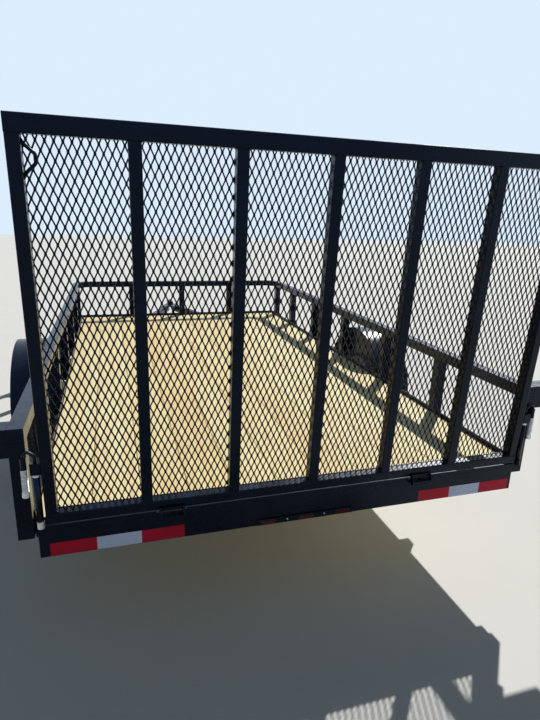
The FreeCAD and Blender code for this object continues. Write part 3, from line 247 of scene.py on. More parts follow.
def pine_material(name, along, board_start, board_pitch):
    """Fresh treated pine: grain along one axis, growth rings, knots, and each board of its own tone."""
    m = Maker(name)
    x, y, z = m.split()
    run, across = (y, x) if along == "Y" else (x, y)
    number = m.math("FLOOR", m.math("DIVIDE", m.math("SUBTRACT", across, board_start), board_pitch))
    pick = m.add("ShaderNodeTexWhiteNoise", noise_dimensions="1D")
    m.put(pick.inputs["W"], number)
    warmest_board = 3.6
    from_warmest = m.math("ABSOLUTE", m.math("SUBTRACT", number, warmest_board))
    tone = m.plus(m.times(pick.outputs["Value"], 0.4), m.span(from_warmest, 0.5, 5.5, 0.6, 0.0))
    across = m.plus(across, m.times(tone, 3.7))
    run = m.plus(run, m.times(tone, 11.3))
    grain_at = m.combine(across, run, z)

    knots_at = m.stretch((5.4, 2.1, 1.0), grain_at)
    distance = m.voronoi(1.0, knots_at)
    knot = m.span(distance, 0.045, 0.085, 1.0, 0.0)
    halo = m.span(distance, 0.05, 0.26, 1.0, 0.0)
    warp = m.noise(3.0, 2.0, 0.5, knots_at)
    bent = m.plus(m.plus(across, m.times(halo, 0.022)), m.times(warp, 0.035))
    rings_at = m.combine(m.times(bent, 62.0), m.times(run, 0.55), 0.0)
    ring = m.span(m.noise(1.0, 2.5, 0.5, rings_at), 0.42, 0.62)
    fibre = m.noise(1.0, 3.0, 0.6, m.stretch((900, 9, 900), grain_at))
    patches = m.span(m.noise(1.0, 3.0, 0.5, m.stretch((5.0, 0.9, 1.0), grain_at)), 0.46, 0.72)
    small = m.voronoi(1.0, m.stretch((11.0, 3.1, 1.0), grain_at, (3.7, 1.9, 0.0)))
    pin_knot = m.times(m.span(small, 0.03, 0.10, 1.0, 0.0), m.span(patches, 0.15, 0.45))
    grime = m.span(m.noise(2.2, 5.0, 0.65), 0.56, 0.80)
    normal = m.split(m.add("ShaderNodeTexCoord").outputs["Normal"])
    # Faces across the grain turn dark brown: partly the darker end grain, partly painted shade at the boards'
    # ends.
    end_grain_and_shade = m.span(m.math("ABSOLUTE", normal["XY".index(along)]), 0.6, 0.9)

    base = m.mix(tone, color(0.95, 0.91, 0.60), color(0.91, 0.75, 0.39))
    for amount, tint in (
        (m.times(ring, 0.40), color(0.80, 0.51, 0.20)),
        (m.times(patches, m.span(tone, 0.0, 1.0, 0.26, 0.50)), color(0.80, 0.47, 0.19)),
        (m.span(fibre, 0.35, 0.65, 0.0, 0.22), color(0.95, 0.90, 0.62)),
        (m.times(halo, 0.26), color(0.50, 0.27, 0.09)),
        (m.times(knot, 0.88), color(0.15, 0.062, 0.020)),
        (m.times(pin_knot, 0.75), color(0.30, 0.13, 0.035)),
        (m.times(grime, 0.16), color(0.40, 0.31, 0.17)),
        (end_grain_and_shade, color(0.30, 0.20, 0.10)),
    ):
        base = m.mix(amount, base, tint)
    rough = m.span(fibre, 0.3, 0.7, 0.62, 0.80)
    relief = m.bump(ring, 0.22, 0.0008, m.bump(fibre, 0.35, 0.0006))
    return m.finish(base, rough, relief)


def zinc_material():
    """Dull zinc plate with its spangle and stains."""
    m = Maker("zinc")
    spangle = m.split(m.voronoi(160.0, out="Color"))[0]
    stain = m.span(m.noise(35.0, 4.0), 0.55, 0.8)
    base = m.mix(spangle, color(0.50, 0.51, 0.52), color(0.66, 0.67, 0.67))
    base = m.mix(m.times(stain, 0.5), base, color(0.33, 0.32, 0.30))
    rough = m.plus(m.span(spangle, 0.0, 1.0, 0.36, 0.46), m.times(stain, 0.2))
    return m.finish(base, rough, m.bump(m.noise(300.0, 2.0), 0.12, 0.0004), Metallic=1.0)


def silver_material():
    """Silver wheel paint with metal flecks and road dust."""
    m = Maker("wheel_steel")
    fleck = m.span(m.noise(1400.0, 1.0), 0.4, 0.6)
    dust = m.span(m.noise(18.0, 5.0, 0.65), 0.45, 0.8)
    base = m.mix(fleck, color(0.50, 0.51, 0.52), color(0.62, 0.63, 0.64))
    base = m.mix(m.times(dust, 0.45), base, color(0.22, 0.19, 0.15))
    rough = m.span(dust, 0.0, 1.0, 0.30, 0.55)
    return m.finish(base, rough, m.bump(m.noise(500.0, 1.0), 0.06, 0.0003), Metallic=0.55, Coat_Weight=0.4)


def rubber_material():
    """Matt tyre rubber with road dust."""
    m = Maker("rubber")
    dust = m.span(m.noise(24.0, 6.0, 0.7), 0.40, 0.80)
    base = m.mix(m.times(dust, 0.55), color(0.016, 0.016, 0.017), color(0.075, 0.068, 0.058))
    rough = m.span(dust, 0.0, 1.0, 0.55, 0.85)
    return m.finish(base, rough, m.bump(m.noise(900.0, 2.0), 0.2, 0.0004))


def lens_material(name, deep, bright):
    """Red lens with a fine prism pattern inside."""
    m = Maker(name)
    x, _, z = m.split()
    prism = m.times(m.math("SINE", m.times(x, 1500.0)), m.math("SINE", m.times(z, 1500.0)))
    base = m.mix(m.span(prism, -1.0, 1.0), deep, bright)
    rough = m.span(m.noise(60.0), 0.3, 0.7, 0.10, 0.2)
    return m.finish(base, rough, m.bump(prism, 0.10, 0.0004), Specular_IOR_Level=0.25)


def tape_material(name, dark, light):
    """Retroreflective tape: small hexagon cells under a clear film."""
    m = Maker(name)
    x, _, z = m.split()
    cells = m.voronoi(330.0, m.combine(x, m.times(z, 1.15), 0.0), "DISTANCE_TO_EDGE", randomness=0.12)
    edge = m.span(cells, 0.02, 0.07)
    patch = m.span(m.noise(14.0, 3.0), 0.35, 0.7)
    grime = m.span(m.noise(30.0, 5.0, 0.7), 0.58, 0.85)
    base = m.mix(m.times(edge, m.span(patch, 0.0, 1.0, 0.6, 1.0)), dark, light)
    base = m.mix(m.times(grime, 0.35), base, color(0.20, 0.17, 0.15))
    rough = m.span(patch, 0.0, 1.0, 0.34, 0.46)
    return m.finish(base, rough, m.bump(edge, 0.10, 0.0003), Specular_IOR_Level=0.16)


def gasket_material():
    """Black rubber of the lamps' grommets."""
    m = Maker("gasket")
    base = m.mix(m.span(m.noise(40.0, 4.0), 0.4, 0.7), color(0.010, 0.010, 0.010), color(0.017, 0.017, 0.017))
    rough = m.span(m.noise(25.0), 0.3, 0.7, 0.55, 0.7)
    return m.finish(base, rough, m.bump(m.noise(700.0), 0.08, 0.0003))


PAINT = paint_material("black_paint", 0.5)
PAINT_ROD = paint_material("black_rod", 0.9)
PINE = pine_material("pine", "Y", BOARDS_LEFT - BOARD_GAP / 2, BOARD_PITCH)
PINE_END = pine_material("pine_end", "X", FRONT - 0.3, 2.0)  # wide enough to count as one board
ZINC = zinc_material()
SILVER = silver_material()
RUBBER = rubber_material()
LENS = lens_material("red_lens", color(0.34, 0.003, 0.005), color(0.62, 0.008, 0.010))
# A darkened copy of the red lens for the marker lamps: painted shade, not a different lens.
LENS_PAINTED_SHADE = lens_material("red_lens_painted_shade", color(0.035, 0.001, 0.004), color(0.10, 0.003, 0.010))
TAPE_RED = tape_material("tape_red", color(0.34, 0.003, 0.018), color(0.52, 0.005, 0.034))
TAPE_WHITE = tape_material("tape_white", color(0.42, 0.50, 0.68), color(0.56, 0.66, 0.88))
GASKET = gasket_material()

SLOT_MATERIAL = {
    "black_paint": PAINT, "pine": PINE, "zinc": ZINC, "rubber": RUBBER, "wheel_steel": SILVER, "red_lens": LENS,
}
NODE_MATERIAL = {"deck_end_board": PINE_END, "id_lamps": LENS_PAINTED_SHADE}


# Mesh helpers
def add_object(name, bm, materials, body):
    mesh = bpy.data.meshes.new(name)
    bm.normal_update()
    bm.to_mesh(mesh)
    bm.free()
    obj = bpy.data.objects.new(name, mesh)
    bpy.context.scene.collection.objects.link(obj)
    for material in materials:
        mesh.materials.append(material)
    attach(obj, body)
    return obj


def round_box(bm, low, high, radius, matrix=Matrix(), segments=2, along=None):
    """A box with all its edges rounded, or those along one axis, moved by matrix."""
    low, high = Vector(low), Vector(high)
    place = Matrix.Translation((low + high) / 2) @ Matrix.Diagonal((*(high - low), 1.0))
    verts = bmesh.ops.create_cube(bm, size=1.0, matrix=place)["verts"]
    picked = {e for v in verts for e in v.link_edges}
    if along is not None:
        picked = {e for e in picked if abs((e.verts[0].co - e.verts[1].co).normalized()[along]) > 0.9}
    result = bmesh.ops.bevel(
        bm, geom=list(picked), offset=radius, segments=segments, affect="EDGES", profile=0.5)
    verts = {v for v in verts if v.is_valid} | {v for f in result["faces"] for v in f.verts}
    whole = verts | {w for v in verts for f in v.link_faces for w in f.verts}
    bmesh.ops.transform(bm, matrix=matrix, verts=list(whole))


def disc(bm, place, segments, low_radius, high_radius, depth):
    """A capped disc or cone, centred on place."""
    bmesh.ops.create_cone(
        bm, cap_ends=True, segments=segments, radius1=low_radius, radius2=high_radius, depth=depth, matrix=place)


def eased_disc(bm, place, segments, radius, depth, ease, steps, material=0):
    """A disc or hexagon with its sharp edges beveled.

    Each is made in a mesh of its own and copied in, because several bevels of discs in one mesh
    leave its points and faces in another order in each run.
    """
    part = bmesh.new()
    disc(part, place, segments, radius, radius, depth)
    sharp = [e for e in part.edges if e.calc_face_angle() > 1.0]
    bmesh.ops.bevel(part, geom=sharp, offset=ease, segments=steps, affect="EDGES")
    copies = {v: bm.verts.new(v.co) for v in part.verts}
    for face in part.faces:
        bm.faces.new([copies[v] for v in face.verts]).material_index = material
    part.free()


def rod(bm, points, radius, sides=10, closed=False, material=0):
    """A round rod along points, with its section carried without twist. The radius may be a function."""
    path = [Vector(p) for p in points]
    count = len(path)
    rings = []
    side = None
    for i, here in enumerate(path):
        after = path[(i + 1) % count] if closed or i + 1 < count else here
        before = path[i - 1] if closed or i > 0 else here
        forward = (after - before).normalized()
        if side is None:
            side = forward.orthogonal().normalized()
        side = (side - forward * side.dot(forward)).normalized()
        other = forward.cross(side)
        size = radius(i / (count - 1)) if callable(radius) else radius
        rings.append([
            bm.verts.new(here + (side * math.cos(a) + other * math.sin(a)) * size)
            for a in (2 * math.pi * k / sides for k in range(sides))
        ])
    for i in range(count if closed else count - 1):
        a, b = rings[i], rings[(i + 1) % count]
        for k in range(sides):
            face = bm.faces.new((a[k], a[(k + 1) % sides], b[(k + 1) % sides], b[k]))
            face.material_index = material
            face.smooth = True
    if not closed:
        bm.faces.new(list(reversed(rings[0]))).material_index = material
        bm.faces.new(rings[-1]).material_index = material


def rounded_path(corners, radius, steps=6):
    """Points along straight runs whose corners are turned with an arc of that radius."""
    corners = [Vector(c) for c in corners]
    points = [corners[0]]
    for before, here, after in zip(corners, corners[1:], corners[2:]):
        a = (before - here).normalized()
        b = (after - here).normalized()
        angle = a.angle(b)
        cut = radius / math.tan(angle / 2)
        start = here + a * cut
        end = here + b * cut
        middle = here + (a + b).normalized() * (radius / math.sin(angle / 2))
        for k in range(steps + 1):
            points.append(middle + (start - middle).lerp(end - middle, k / steps).normalized() * radius)
    points.append(corners[-1])
    return points


def weld(bm, start, end, size=0.0028):
    """A rippled fillet bead from start to end."""
    start, end = Vector(start), Vector(end)
    length = (end - start).length
    step = 0.0022
    ripple_length = 2 * step
    steps = max(3, int(length / step))
    points = [start.lerp(end, k / steps) for k in range(steps + 1)]

    def ripple(share):
        return size * (1.0 + 0.16 * math.sin(share * length / ripple_length * 2 * math.pi))

    rod(bm, points, ripple, sides=6)


def bolt(bm, centre, axis, across, height, washer=True):
    """A hexagon head, on a washer or without one, its axis outward from the surface."""
    turn = Vector((0, 0, 1)).rotation_difference(Vector(axis)).to_matrix().to_4x4()
    at = Matrix.Translation(centre) @ turn
    base = 0.0
    if washer:
        base = height * 0.22
        disc(bm, at @ Matrix.Translation((0, 0, base / 2)), 20, across * 0.95, across * 0.93, base)
    middle = at @ Matrix.Translation((0, 0, base + height / 2))
    eased_disc(bm, middle, 6, across * 0.577, height, height * 0.08, 1)


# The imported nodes' own finish
EDGE_WIDTHS = {
    0.0040: ("tongue_leg_left", "tongue_leg_right"),
    0.0030: ("deck_boards", "deck_end_board"),
    0.0020: ("rear_sill", "gate_uprights"),
    0.0015: ("side_sill_left", "side_sill_right", "front_sill"),
    0.0014: (
        "rail_left", "rail_right", "rail_posts_left", "rail_posts_right", "rail_posts_front", "rear_posts"),
    0.0012: ("crossmembers", "light_boxes"),
    0.0008: ("id_light_bar",),
    0.0007: ("latch_keepers",),
}


def finish_nodes():
    """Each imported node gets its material, and the sharp ones get eased edges."""
    slot_of = {row["node"]: row["material_slot"] for row in frame["record"]["subparts"]}
    for name, obj in frame["nodes"].items():
        obj.data.materials.clear()
        obj.data.materials.append(NODE_MATERIAL.get(name, SLOT_MATERIAL[slot_of[name]]))
    for width, names in EDGE_WIDTHS.items():
        for name in names:
            modifiers = frame["nodes"][name].modifiers
            join = modifiers.new("join", "WELD")
            join.merge_threshold = 0.00002
            ease = modifiers.new("ease", "BEVEL")
            ease.width = width
            ease.segments = 2
            ease.limit_method = "ANGLE"
            ease.angle_limit = math.radians(40)
            ease.use_clamp_overlap = True


finish_nodes()


# Gate
def gate_tubes():
    """The gate's tube frame, and the flat bar round its mesh."""
    bm = bmesh.new()
    corner = 0.0045
    lap = 0.001
    for low, high in ((GATE_LOW, OPEN_LOW), (OPEN_HIGH, GATE_HIGH)):
        round_box(bm, (-GATE_HALF, GATE_REAR, low), (GATE_HALF, GATE_FRONT, high), corner, GATE, 3, along=0)
    for x in (-GATE_HALF, OPEN_HALF):
        round_box(
            bm, (x, GATE_REAR, OPEN_LOW - lap), (x + GATE_BAR, GATE_FRONT, OPEN_HIGH + lap),
            corner, GATE, 3, along=2)
    edging = 0.020
    thick = 0.005
    outer = OPEN_HALF + edging
    for left, right, low, high in (
        (-outer, outer, OPEN_LOW - edging, OPEN_LOW),
        (-outer, outer, OPEN_HIGH, OPEN_HIGH + edging),
        (-outer, -OPEN_HALF, OPEN_LOW, OPEN_HIGH),
        (OPEN_HALF, outer, OPEN_LOW, OPEN_HIGH),
    ):
        round_box(bm, (left, GATE_FRONT, low), (right, GATE_FRONT + thick, high), 0.0008, GATE, 1)
    return add_object("gate_tubes", bm, [PAINT], "ramp_gate")


def gate_mesh():
    """Expanded metal: tall diamonds whose strands meet in long bonds and stand a little out of plane."""
    bm = bmesh.new()
    step_x = MESH_SHORT / 2
    step_z = MESH_LONG / 2
    middle_y = GATE_FRONT + 0.0029
    margin = 0.03
    columns = int((2 * OPEN_HALF + margin) / step_x)
    rows = int((OPEN_HIGH - OPEN_LOW + margin) / step_z)
    start_x = -columns * step_x / 2
    start_z = OPEN_LOW - 0.010
    half_wide = 0.0023
    half_thick = 0.0010
    lean = 0.0006
    lift = 0.0011
    bond_half = 0.0052
    bond_wide = half_wide * 1.85
    inset = 0.0040

    def strand_end(x, y, z, slope):
        """Four corners of a strand's end: its width lies across the strand in the mesh's plane."""
        along = Vector((slope * step_x, 0, step_z)).normalized()
        depth = Vector((0, 1, 0))
        tilt = Vector((along.z, 0, -along.x)) * half_wide + depth * lean
        top = depth * half_thick
        centre = Vector((x, y, z))
        return [centre - tilt - top, centre + tilt - top, centre + tilt + top, centre - tilt + top]

    def level_cut(x, y, z, wide, thick):
        """Four corners of a bond at one height."""
        return [
            Vector((x + dx, y + dy, z))
            for dx, dy in ((-wide, -thick), (wide, -thick), (wide, thick), (-wide, thick))
        ]

    def skin(sections):
        """Four sides through the sections, leaned with the gate."""
        rings = [[bm.verts.new(GATE @ p) for p in section] for section in sections]
        for a, b in zip(rings, rings[1:]):
            for k in range(4):
                bm.faces.new((a[k], a[(k + 1) % 4], b[(k + 1) % 4], b[k]))
        return rings

    for column in range(columns + 1):
        x = start_x + column * step_x
        for row in range(-1, rows + 2):
            if (column + row) % 2:
                continue
            z = start_z + row * step_z
            rings = skin([
                level_cut(x, middle_y - lift * 0.4, z - bond_half, bond_wide * 0.72, half_thick),
                level_cut(x, middle_y, z, bond_wide, half_thick * 1.25),
                level_cut(x, middle_y + lift * 0.4, z + bond_half, bond_wide * 0.72, half_thick),
            ])
            bm.faces.new(list(reversed(rings[0])))
            bm.faces.new(rings[-1])
            for slope in (-1, 1):
                if not 0 <= column + slope <= columns or row > rows:
                    continue
                share = inset / step_z
                skin([
                    strand_end(x + slope * step_x * share, middle_y + lift * 0.5, z + inset, slope),
                    strand_end(
                        x + slope * step_x * (1 - share), middle_y - lift * 0.5, z + step_z - inset, slope),
                ])

    # the mesh ends under the flat bar round it
    reach = 0.012
    for point, outward in (
        ((-OPEN_HALF - reach, 0, 0), (-1, 0, 0)), ((OPEN_HALF + reach, 0, 0), (1, 0, 0)),
        ((0, 0, OPEN_LOW - reach), (0, 0, -1)), ((0, 0, OPEN_HIGH + reach), (0, 0, 1)),
    ):
        bmesh.ops.bisect_plane(
            bm, geom=bm.verts[:] + bm.edges[:] + bm.faces[:], plane_co=GATE @ Vector(point),
            plane_no=GATE.to_3x3() @ Vector(outward), clear_outer=True)
    return add_object("gate_mesh", bm, [PAINT], "ramp_gate")


def gate_handle():
    """Bent handle on the inner side of the left tube, near its top."""
    bm = bmesh.new()
    x, y, z = -OPEN_HALF, GATE_REAR + GATE_BAR / 2, GATE_HIGH - 0.115
    corners = [(x + dx, y, z + dz) for dx, dz in (
        (-0.004, 0.054), (0.007, 0.038), (0.033, 0.015), (0.033, -0.009), (0.009, -0.032), (-0.003, -0.050),
    )]
    rod(bm, [GATE @ p for p in rounded_path(corners, 0.011)], 0.0052, sides=14)
    return add_object("gate_handle", bm, [PAINT], "ramp_gate")


def gate_welds():
    """Beads at both ends of the uprights and of the frame's side tubes."""
    bm = bmesh.new()
    inset = 0.004

    def bead(start, end, *size):
        weld(bm, GATE @ Vector(start), GATE @ Vector(end), *size)

    span = 2 * GATE_HALF - GATE_BAR
    lefts = [-GATE_HALF + span * k / (UPRIGHTS + 1) for k in range(1, UPRIGHTS + 1)]
    # each tube's left side, and the sides that carry a bead
    tubes = [(left, (left, left + GATE_BAR)) for left in lefts]
    tubes += [(-GATE_HALF, (-OPEN_HALF,)), (OPEN_HALF, (OPEN_HALF,))]
    for left, sides in tubes:
        for z in (OPEN_LOW, OPEN_HIGH):
            for x in sides:
                bead((x, GATE_REAR + inset, z), (x, GATE_FRONT - inset, z))
            bead((left + inset, GATE_REAR, z), (left + GATE_BAR - inset, GATE_REAR, z), 0.0018)
    return add_object("gate_welds", bm, [PAINT], "ramp_gate")


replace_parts(gate_tubes(), "gate_frame")
gate_mesh()
gate_handle()
gate_welds()


# Tapes, lamps and trim
def tapes():
    """Two reflective tapes on the rear sill, each red, white and red."""
    bm = bmesh.new()
    third = 0.4572 / 3
    film = 0.0004
    seam = 0.0001
    for left in (-0.9396, 0.5009):
        for k, material in enumerate((0, 1, 0)):
            start = left + third * k + (seam if k else 0.0)
            place = Matrix.Translation((start + third / 2, REAR - film / 2, 0.4271))
            place @= Matrix.Diagonal((third - seam, film, 0.0500, 1.0))
            for v in bmesh.ops.create_cube(bm, size=1.0, matrix=place)["verts"]:
                for f in v.link_faces:
                    f.material_index = material
    return add_object("reflective_tapes", bm, [TAPE_RED, TAPE_WHITE], "chassis")


def oval(half_long, half_high, count):
    """Points round a flat-sided oval."""
    run = half_long - half_high
    points = []
    for k in range(count):
        a = 2 * math.pi * k / count
        points.append(((run if math.cos(a) >= 0 else -run) + half_high * math.cos(a), half_high * math.sin(a)))
    return points


def lamp_rims():
    """Rubber grommets round the oval tail lamps and the marker lamps."""
    bm = bmesh.new()
    half_long = 0.075
    lap = 0.003
    low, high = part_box("tail_lamps")
    z = (low[2] + high[2]) / 2
    outline = oval(half_long + lap, (high[2] - low[2]) / 2 + lap, 56)
    for sign in (-1, 1):
        middle = sign * (high[0] - half_long)
        rod(bm, [(middle + u, low[1] + 0.0055, z + w) for u, w in outline], 0.0042, sides=8, closed=True)
    lap = 0.0008
    low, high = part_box("id_lamps")
    z = (low[2] + high[2]) / 2
    outline = oval(0.029 + lap, 0.008 + lap, 36)
    for k in (-1, 0, 1):
        middle = ID_SHIFT + k * ID_PITCH
        rod(bm, [(middle + u, high[1] - lap, z + w) for u, w in outline], 0.0013, sides=6, closed=True)
    return add_object("lamp_rims", bm, [GASKET], "chassis")


def lamp_screws():
    """Pan heads that hold the marker lamps' bar to the sill."""
    bm = bmesh.new()
    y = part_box("id_light_bar")[0][1]
    for x in (ID_SHIFT - ID_PITCH / 2, ID_SHIFT + ID_PITCH / 2):
        place = Matrix.Translation((x, y, 0.4165)) @ Matrix.Rotation(math.radians(90), 4, "X")
        disc(bm, place, 16, 0.0040, 0.0030, 0.0040)
    return add_object("lamp_screws", bm, [ZINC], "chassis")


def deck_trim():
    """Lips of the sills above the boards, a strip over the boards' rear ends, and a lip on the rear sill."""
    bm = bmesh.new()
    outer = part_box("side_sill_right")[1][0]
    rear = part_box("deck_boards")[0][1]
    foot = DECK - 0.0005
    top = DECK + 0.022
    ends = outer - 0.006
    boxes = [((x, rear + 0.004, foot), (x + SILL_THICK, FRONT - SILL_THICK, top), 0.0010)
             for x in (-outer, outer - SILL_THICK)]
    boxes.append(((-ends, FRONT - SILL_THICK, foot), (ends, FRONT, top), 0.0010))
    boxes.append(((-0.972, rear - 0.0035, DECK - 0.0155), (0.972, rear - 0.0005, DECK - 0.0010), 0.0006))
    # three runs, which leave the hinges free
    for left, right in ((-0.968, -0.582), (-0.470, 0.444), (0.556, 0.968)):
        boxes.append(((left, REAR + 0.0002, 0.5095), (right, REAR + 0.0022, 0.5210), 0.0006))
    for low, high, radius in boxes:
        round_box(bm, low, high, radius, segments=1)
    return add_object("deck_trim", bm, [PAINT], "chassis")


tapes()
lamp_rims()
lamp_screws()
deck_trim()


# Latches
def latch_bows():
    """Bent rods of the latches, with a grip tube on each long leg."""
    bm = bmesh.new()
    for short_x, inward in LATCH_LEGS:
        long_x = short_x + inward * LATCH_WIDTH
        path = rounded_path([
            (short_x, LATCH_Y, LATCH_TOP - 0.150), (short_x, LATCH_Y, LATCH_TOP + 0.013),
            (long_x, LATCH_Y, LATCH_TOP - 0.015), (long_x, LATCH_Y, 0.516),
        ], 0.0125, 8)
        rod(bm, path, 0.0055, sides=18)
        grip = [(long_x, LATCH_Y, GRIP_HIGH), (long_x, LATCH_Y, GRIP_LOW)]
        rod(bm, grip, 0.0110, sides=24, material=0 if inward > 0 else 1)
    return add_object("latch_bows", bm, [PAINT_ROD, PAINT], "chassis")


def latch_springs():
    """Springs under the sleeves, with the washers and caps of both legs."""
    bm = bmesh.new()
    turns = 17
    steps = 16  # to a turn
    coil = 0.0098
    low = LATCH_TOP - 0.140
    rise = (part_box("latch_sleeves")[0][2] - low) / turns
    for short_x, inward in LATCH_LEGS:
        long_x = short_x + inward * LATCH_WIDTH
        helix = [
            (short_x + coil * math.cos(2 * math.pi * t), LATCH_Y + coil * math.sin(2 * math.pi * t),
             low + rise * t)
            for t in (k / steps for k in range(turns * steps + 1))
        ]
        rod(bm, helix, 0.0017, sides=8)
        for x, foot, top, size in (
            (short_x, LATCH_TOP - 0.158, LATCH_TOP - 0.138, 0.0130),
            (long_x, GRIP_HIGH, GRIP_HIGH + 0.008, 0.0125),
            (long_x, GRIP_LOW - 0.026, GRIP_LOW, 0.0122),
        ):
            # the right latch's lower cap is painted
            painted = 1 if inward < 0 and top == GRIP_LOW else 0
            middle = Matrix.Translation((x, LATCH_Y, (foot + top) / 2))
            eased_disc(bm, middle, 28, size, top - foot, 0.0012, 2, painted)
    return add_object("latch_springs", bm, [ZINC, PAINT], "chassis")


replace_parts(latch_bows(), "latch_rods")
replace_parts(latch_springs(), "latch_rods")


# Deck screws and frame welds
def deck_screws():
    """Two screws a board at each crossmember, and two rows along the end board."""
    bm = bmesh.new()

    def screw(x, y):
        disc(bm, Matrix.Translation((x, y, DECK)), 14, 0.0065, 0.0058, 0.0012)

    joint = DECK_LENGTH - SILL_THICK - BOARD_PLAY - END_BOARD - BOARD_GAP / 2
    pitch = (joint - TUBE_HALF - FIRST_MEMBER) / (MEMBERS - 1)
    for member in range(MEMBERS):
        # the last crossmember carries the boards' joint, so these screws keep to its rear half
        y = REAR + FIRST_MEMBER + pitch * member + (0.012 if member == MEMBERS - 1 else 0.025)
        for board in range(BOARD_COUNT):
            left = BOARDS_LEFT + board * BOARD_PITCH
            for x in (left + 0.040, left + BOARD_PITCH - 0.043):
                screw(x + random.uniform(-0.004, 0.004), y + random.uniform(-0.003, 0.003))
    for x in (-0.9 + 0.3 * k for k in range(7)):
        for y in (FRONT - 0.030, FRONT - 0.180):
            screw(x, y)
    return add_object("deck_screws", bm, [ZINC], "chassis")


def frame_welds():
    """Beads round the posts, at the rail above them and at the sill."""
    bm = bmesh.new()
    low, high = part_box("rail_right")
    inner, outer, rail_low = low[0], high[0], low[2]
    sill_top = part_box("side_sill_right")[1][2]
    foot, head = sill_top - 0.070, sill_top - 0.002
    inset = 0.004
    half_bead = 0.021
    for offset in POSTS:
        middle = REAR + offset
        for side in (-1, 1):
            near, far = side * inner, side * outer
            for y in (middle - TUBE_HALF, middle + TUBE_HALF):
                weld(bm, (side * (inner + inset), y, rail_low), (side * (outer - inset), y, rail_low))
                weld(bm, (near, y, foot), (near, y, head))
            for x in (near, far):
                weld(bm, (x, middle - half_bead, rail_low), (x, middle + half_bead, rail_low), 0.002)
            weld(bm, (near, middle - half_bead, sill_top), (near, middle + half_bead, sill_top), 0.0024)
    for middle in FRONT_POSTS:
        for x in (middle - TUBE_HALF, middle + TUBE_HALF):
            weld(bm, (x, FRONT + inset, rail_low), (x, FRONT + 0.047, rail_low))
            weld(bm, (x, FRONT, foot), (x, FRONT, head))
        weld(bm, (middle - half_bead, FRONT, rail_low), (middle + half_bead, FRONT, rail_low), 0.002)
    for side in (-1, 1):
        for y in (REAR + 0.018, REAR + 0.069):
            weld(bm, (side * (inner + inset), y, rail_low), (side * (outer - inset), y, rail_low))
    return add_object("frame_welds", bm, [PAINT], "chassis")


deck_screws()
frame_welds()


# Wheels
# Half of the tyre's section: distance from the middle plane, radius, and part,
# where R is a rib, G a groove, S the shoulder and W the wall.
TYRE_HALF = [
    (0.0, TYRE_R, "R"), (0.0095, TYRE_R, "R"),
    (0.0105, TYRE_R - 0.008, "G"), (0.0165, TYRE_R - 0.008, "G"),
    (0.0175, TYRE_R, "R"), (0.0410, TYRE_R - 0.0008, "R"),
    (0.0420, TYRE_R - 0.008, "G"), (0.0480, TYRE_R - 0.0085, "G"),
    (0.0490, TYRE_R - 0.0012, "S"), (0.0700, TYRE_R - 0.0050, "S"), (0.0790, TYRE_R - 0.0090, "S"),
    (0.0870, TYRE_R - 0.0190, "S"), (0.0930, TYRE_R - 0.0290, "W"), (0.0945, TYRE_R - 0.0300, "W"),
    (0.0985, RIM_R + 0.095, "W"), (0.1002, RIM_R + 0.088, "W"), (0.1016, RIM_R + 0.0872, "W"),
    (0.1020, RIM_R + 0.0850, "W"), (0.1012, RIM_R + 0.0842, "W"), (0.1018, RIM_R + 0.074, "W"),
    (0.1010, RIM_R + 0.060, "W"), (0.0990, RIM_R + 0.0592, "W"), (0.0982, RIM_R + 0.053, "W"),
    (0.0955, RIM_R + 0.036, "W"), (0.0965, RIM_R + 0.0345, "W"), (0.0958, RIM_R + 0.032, "W"),
    (0.0930, RIM_R + 0.031, "W"), (0.0900, RIM_R + 0.026, "W"),
    (0.0800, RIM_R + 0.021, "W"), (0.0690, RIM_R + 0.016, "W"), (0.0640, RIM_R + 0.004, "W"),
]


def tyre(side):
    """Trailer tyre: three siped ribs between two shoulders with lugs, and ringed walls."""
    bm = bmesh.new()
    sign = 1 if side == "right" else -1
    centre = Vector((sign * WHEEL_X, AXLE_Y, AXLE_Z))
    profile = [(-u, r, part) for u, r, part in reversed(TYRE_HALF)] + TYRE_HALF[1:]
    blocks = 64
    pitch = 2 * math.pi / blocks
    # where in each block a column of points stands
    shares = (0.0, 0.36, 0.42, 0.78)
    sway = {"R": 0.35 * 0.35, "S": 0.35 * 0.1}
    rings = []
    for block in range(blocks):
        for number, share in enumerate(shares):
            ring = []
            for index, (u, r, part) in enumerate(profile):
                a = (block + share) * pitch
                if part in sway:
                    a += sway[part] * pitch * (1 if index % 2 else -1)
                if part == "R" and number == 2:
                    r -= 0.0035
                if part == "S" and number in (2, 3):
                    r -= 0.0055
                ring.append(bm.verts.new(centre + Vector((sign * u, r * math.cos(a), r * math.sin(a)))))
            rings.append(ring)
    for a, b in zip(rings, rings[1:] + rings[:1]):
        for k in range(len(profile) - 1):
            face = bm.faces.new((a[k], a[k + 1], b[k + 1], b[k]))
            face.smooth = profile[k][2] == "W" and profile[k + 1][2] == "W"
    bmesh.ops.recalc_face_normals(bm, faces=bm.faces[:])
    obj = add_object(f"tyre_{side}_tread", bm, [RUBBER], f"wheel_{side}")
    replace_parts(obj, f"tyre_{side}")


def wheel_bolts(side):
    """Wheel nuts, and the valve stem."""
    bm = bmesh.new()
    sign = 1 if side == "right" else -1
    nuts = 5
    circle = 0.057
    for k in range(nuts):
        angle = 2 * math.pi * k / nuts + math.pi / 2
        at = (sign * (WHEEL_X + 0.004), AXLE_Y + circle * math.cos(angle), AXLE_Z + circle * math.sin(angle))
        bolt(bm, at, (sign, 0, 0), 0.0195, 0.017, washer=False)
    rod(bm, [
        (sign * (WHEEL_X + 0.022), AXLE_Y, AXLE_Z + 0.166), (sign * (WHEEL_X + 0.046), AXLE_Y, AXLE_Z + 0.158),
    ], 0.0045)
    return add_object(f"wheel_bolts_{side}", bm, [ZINC], f"wheel_{side}")


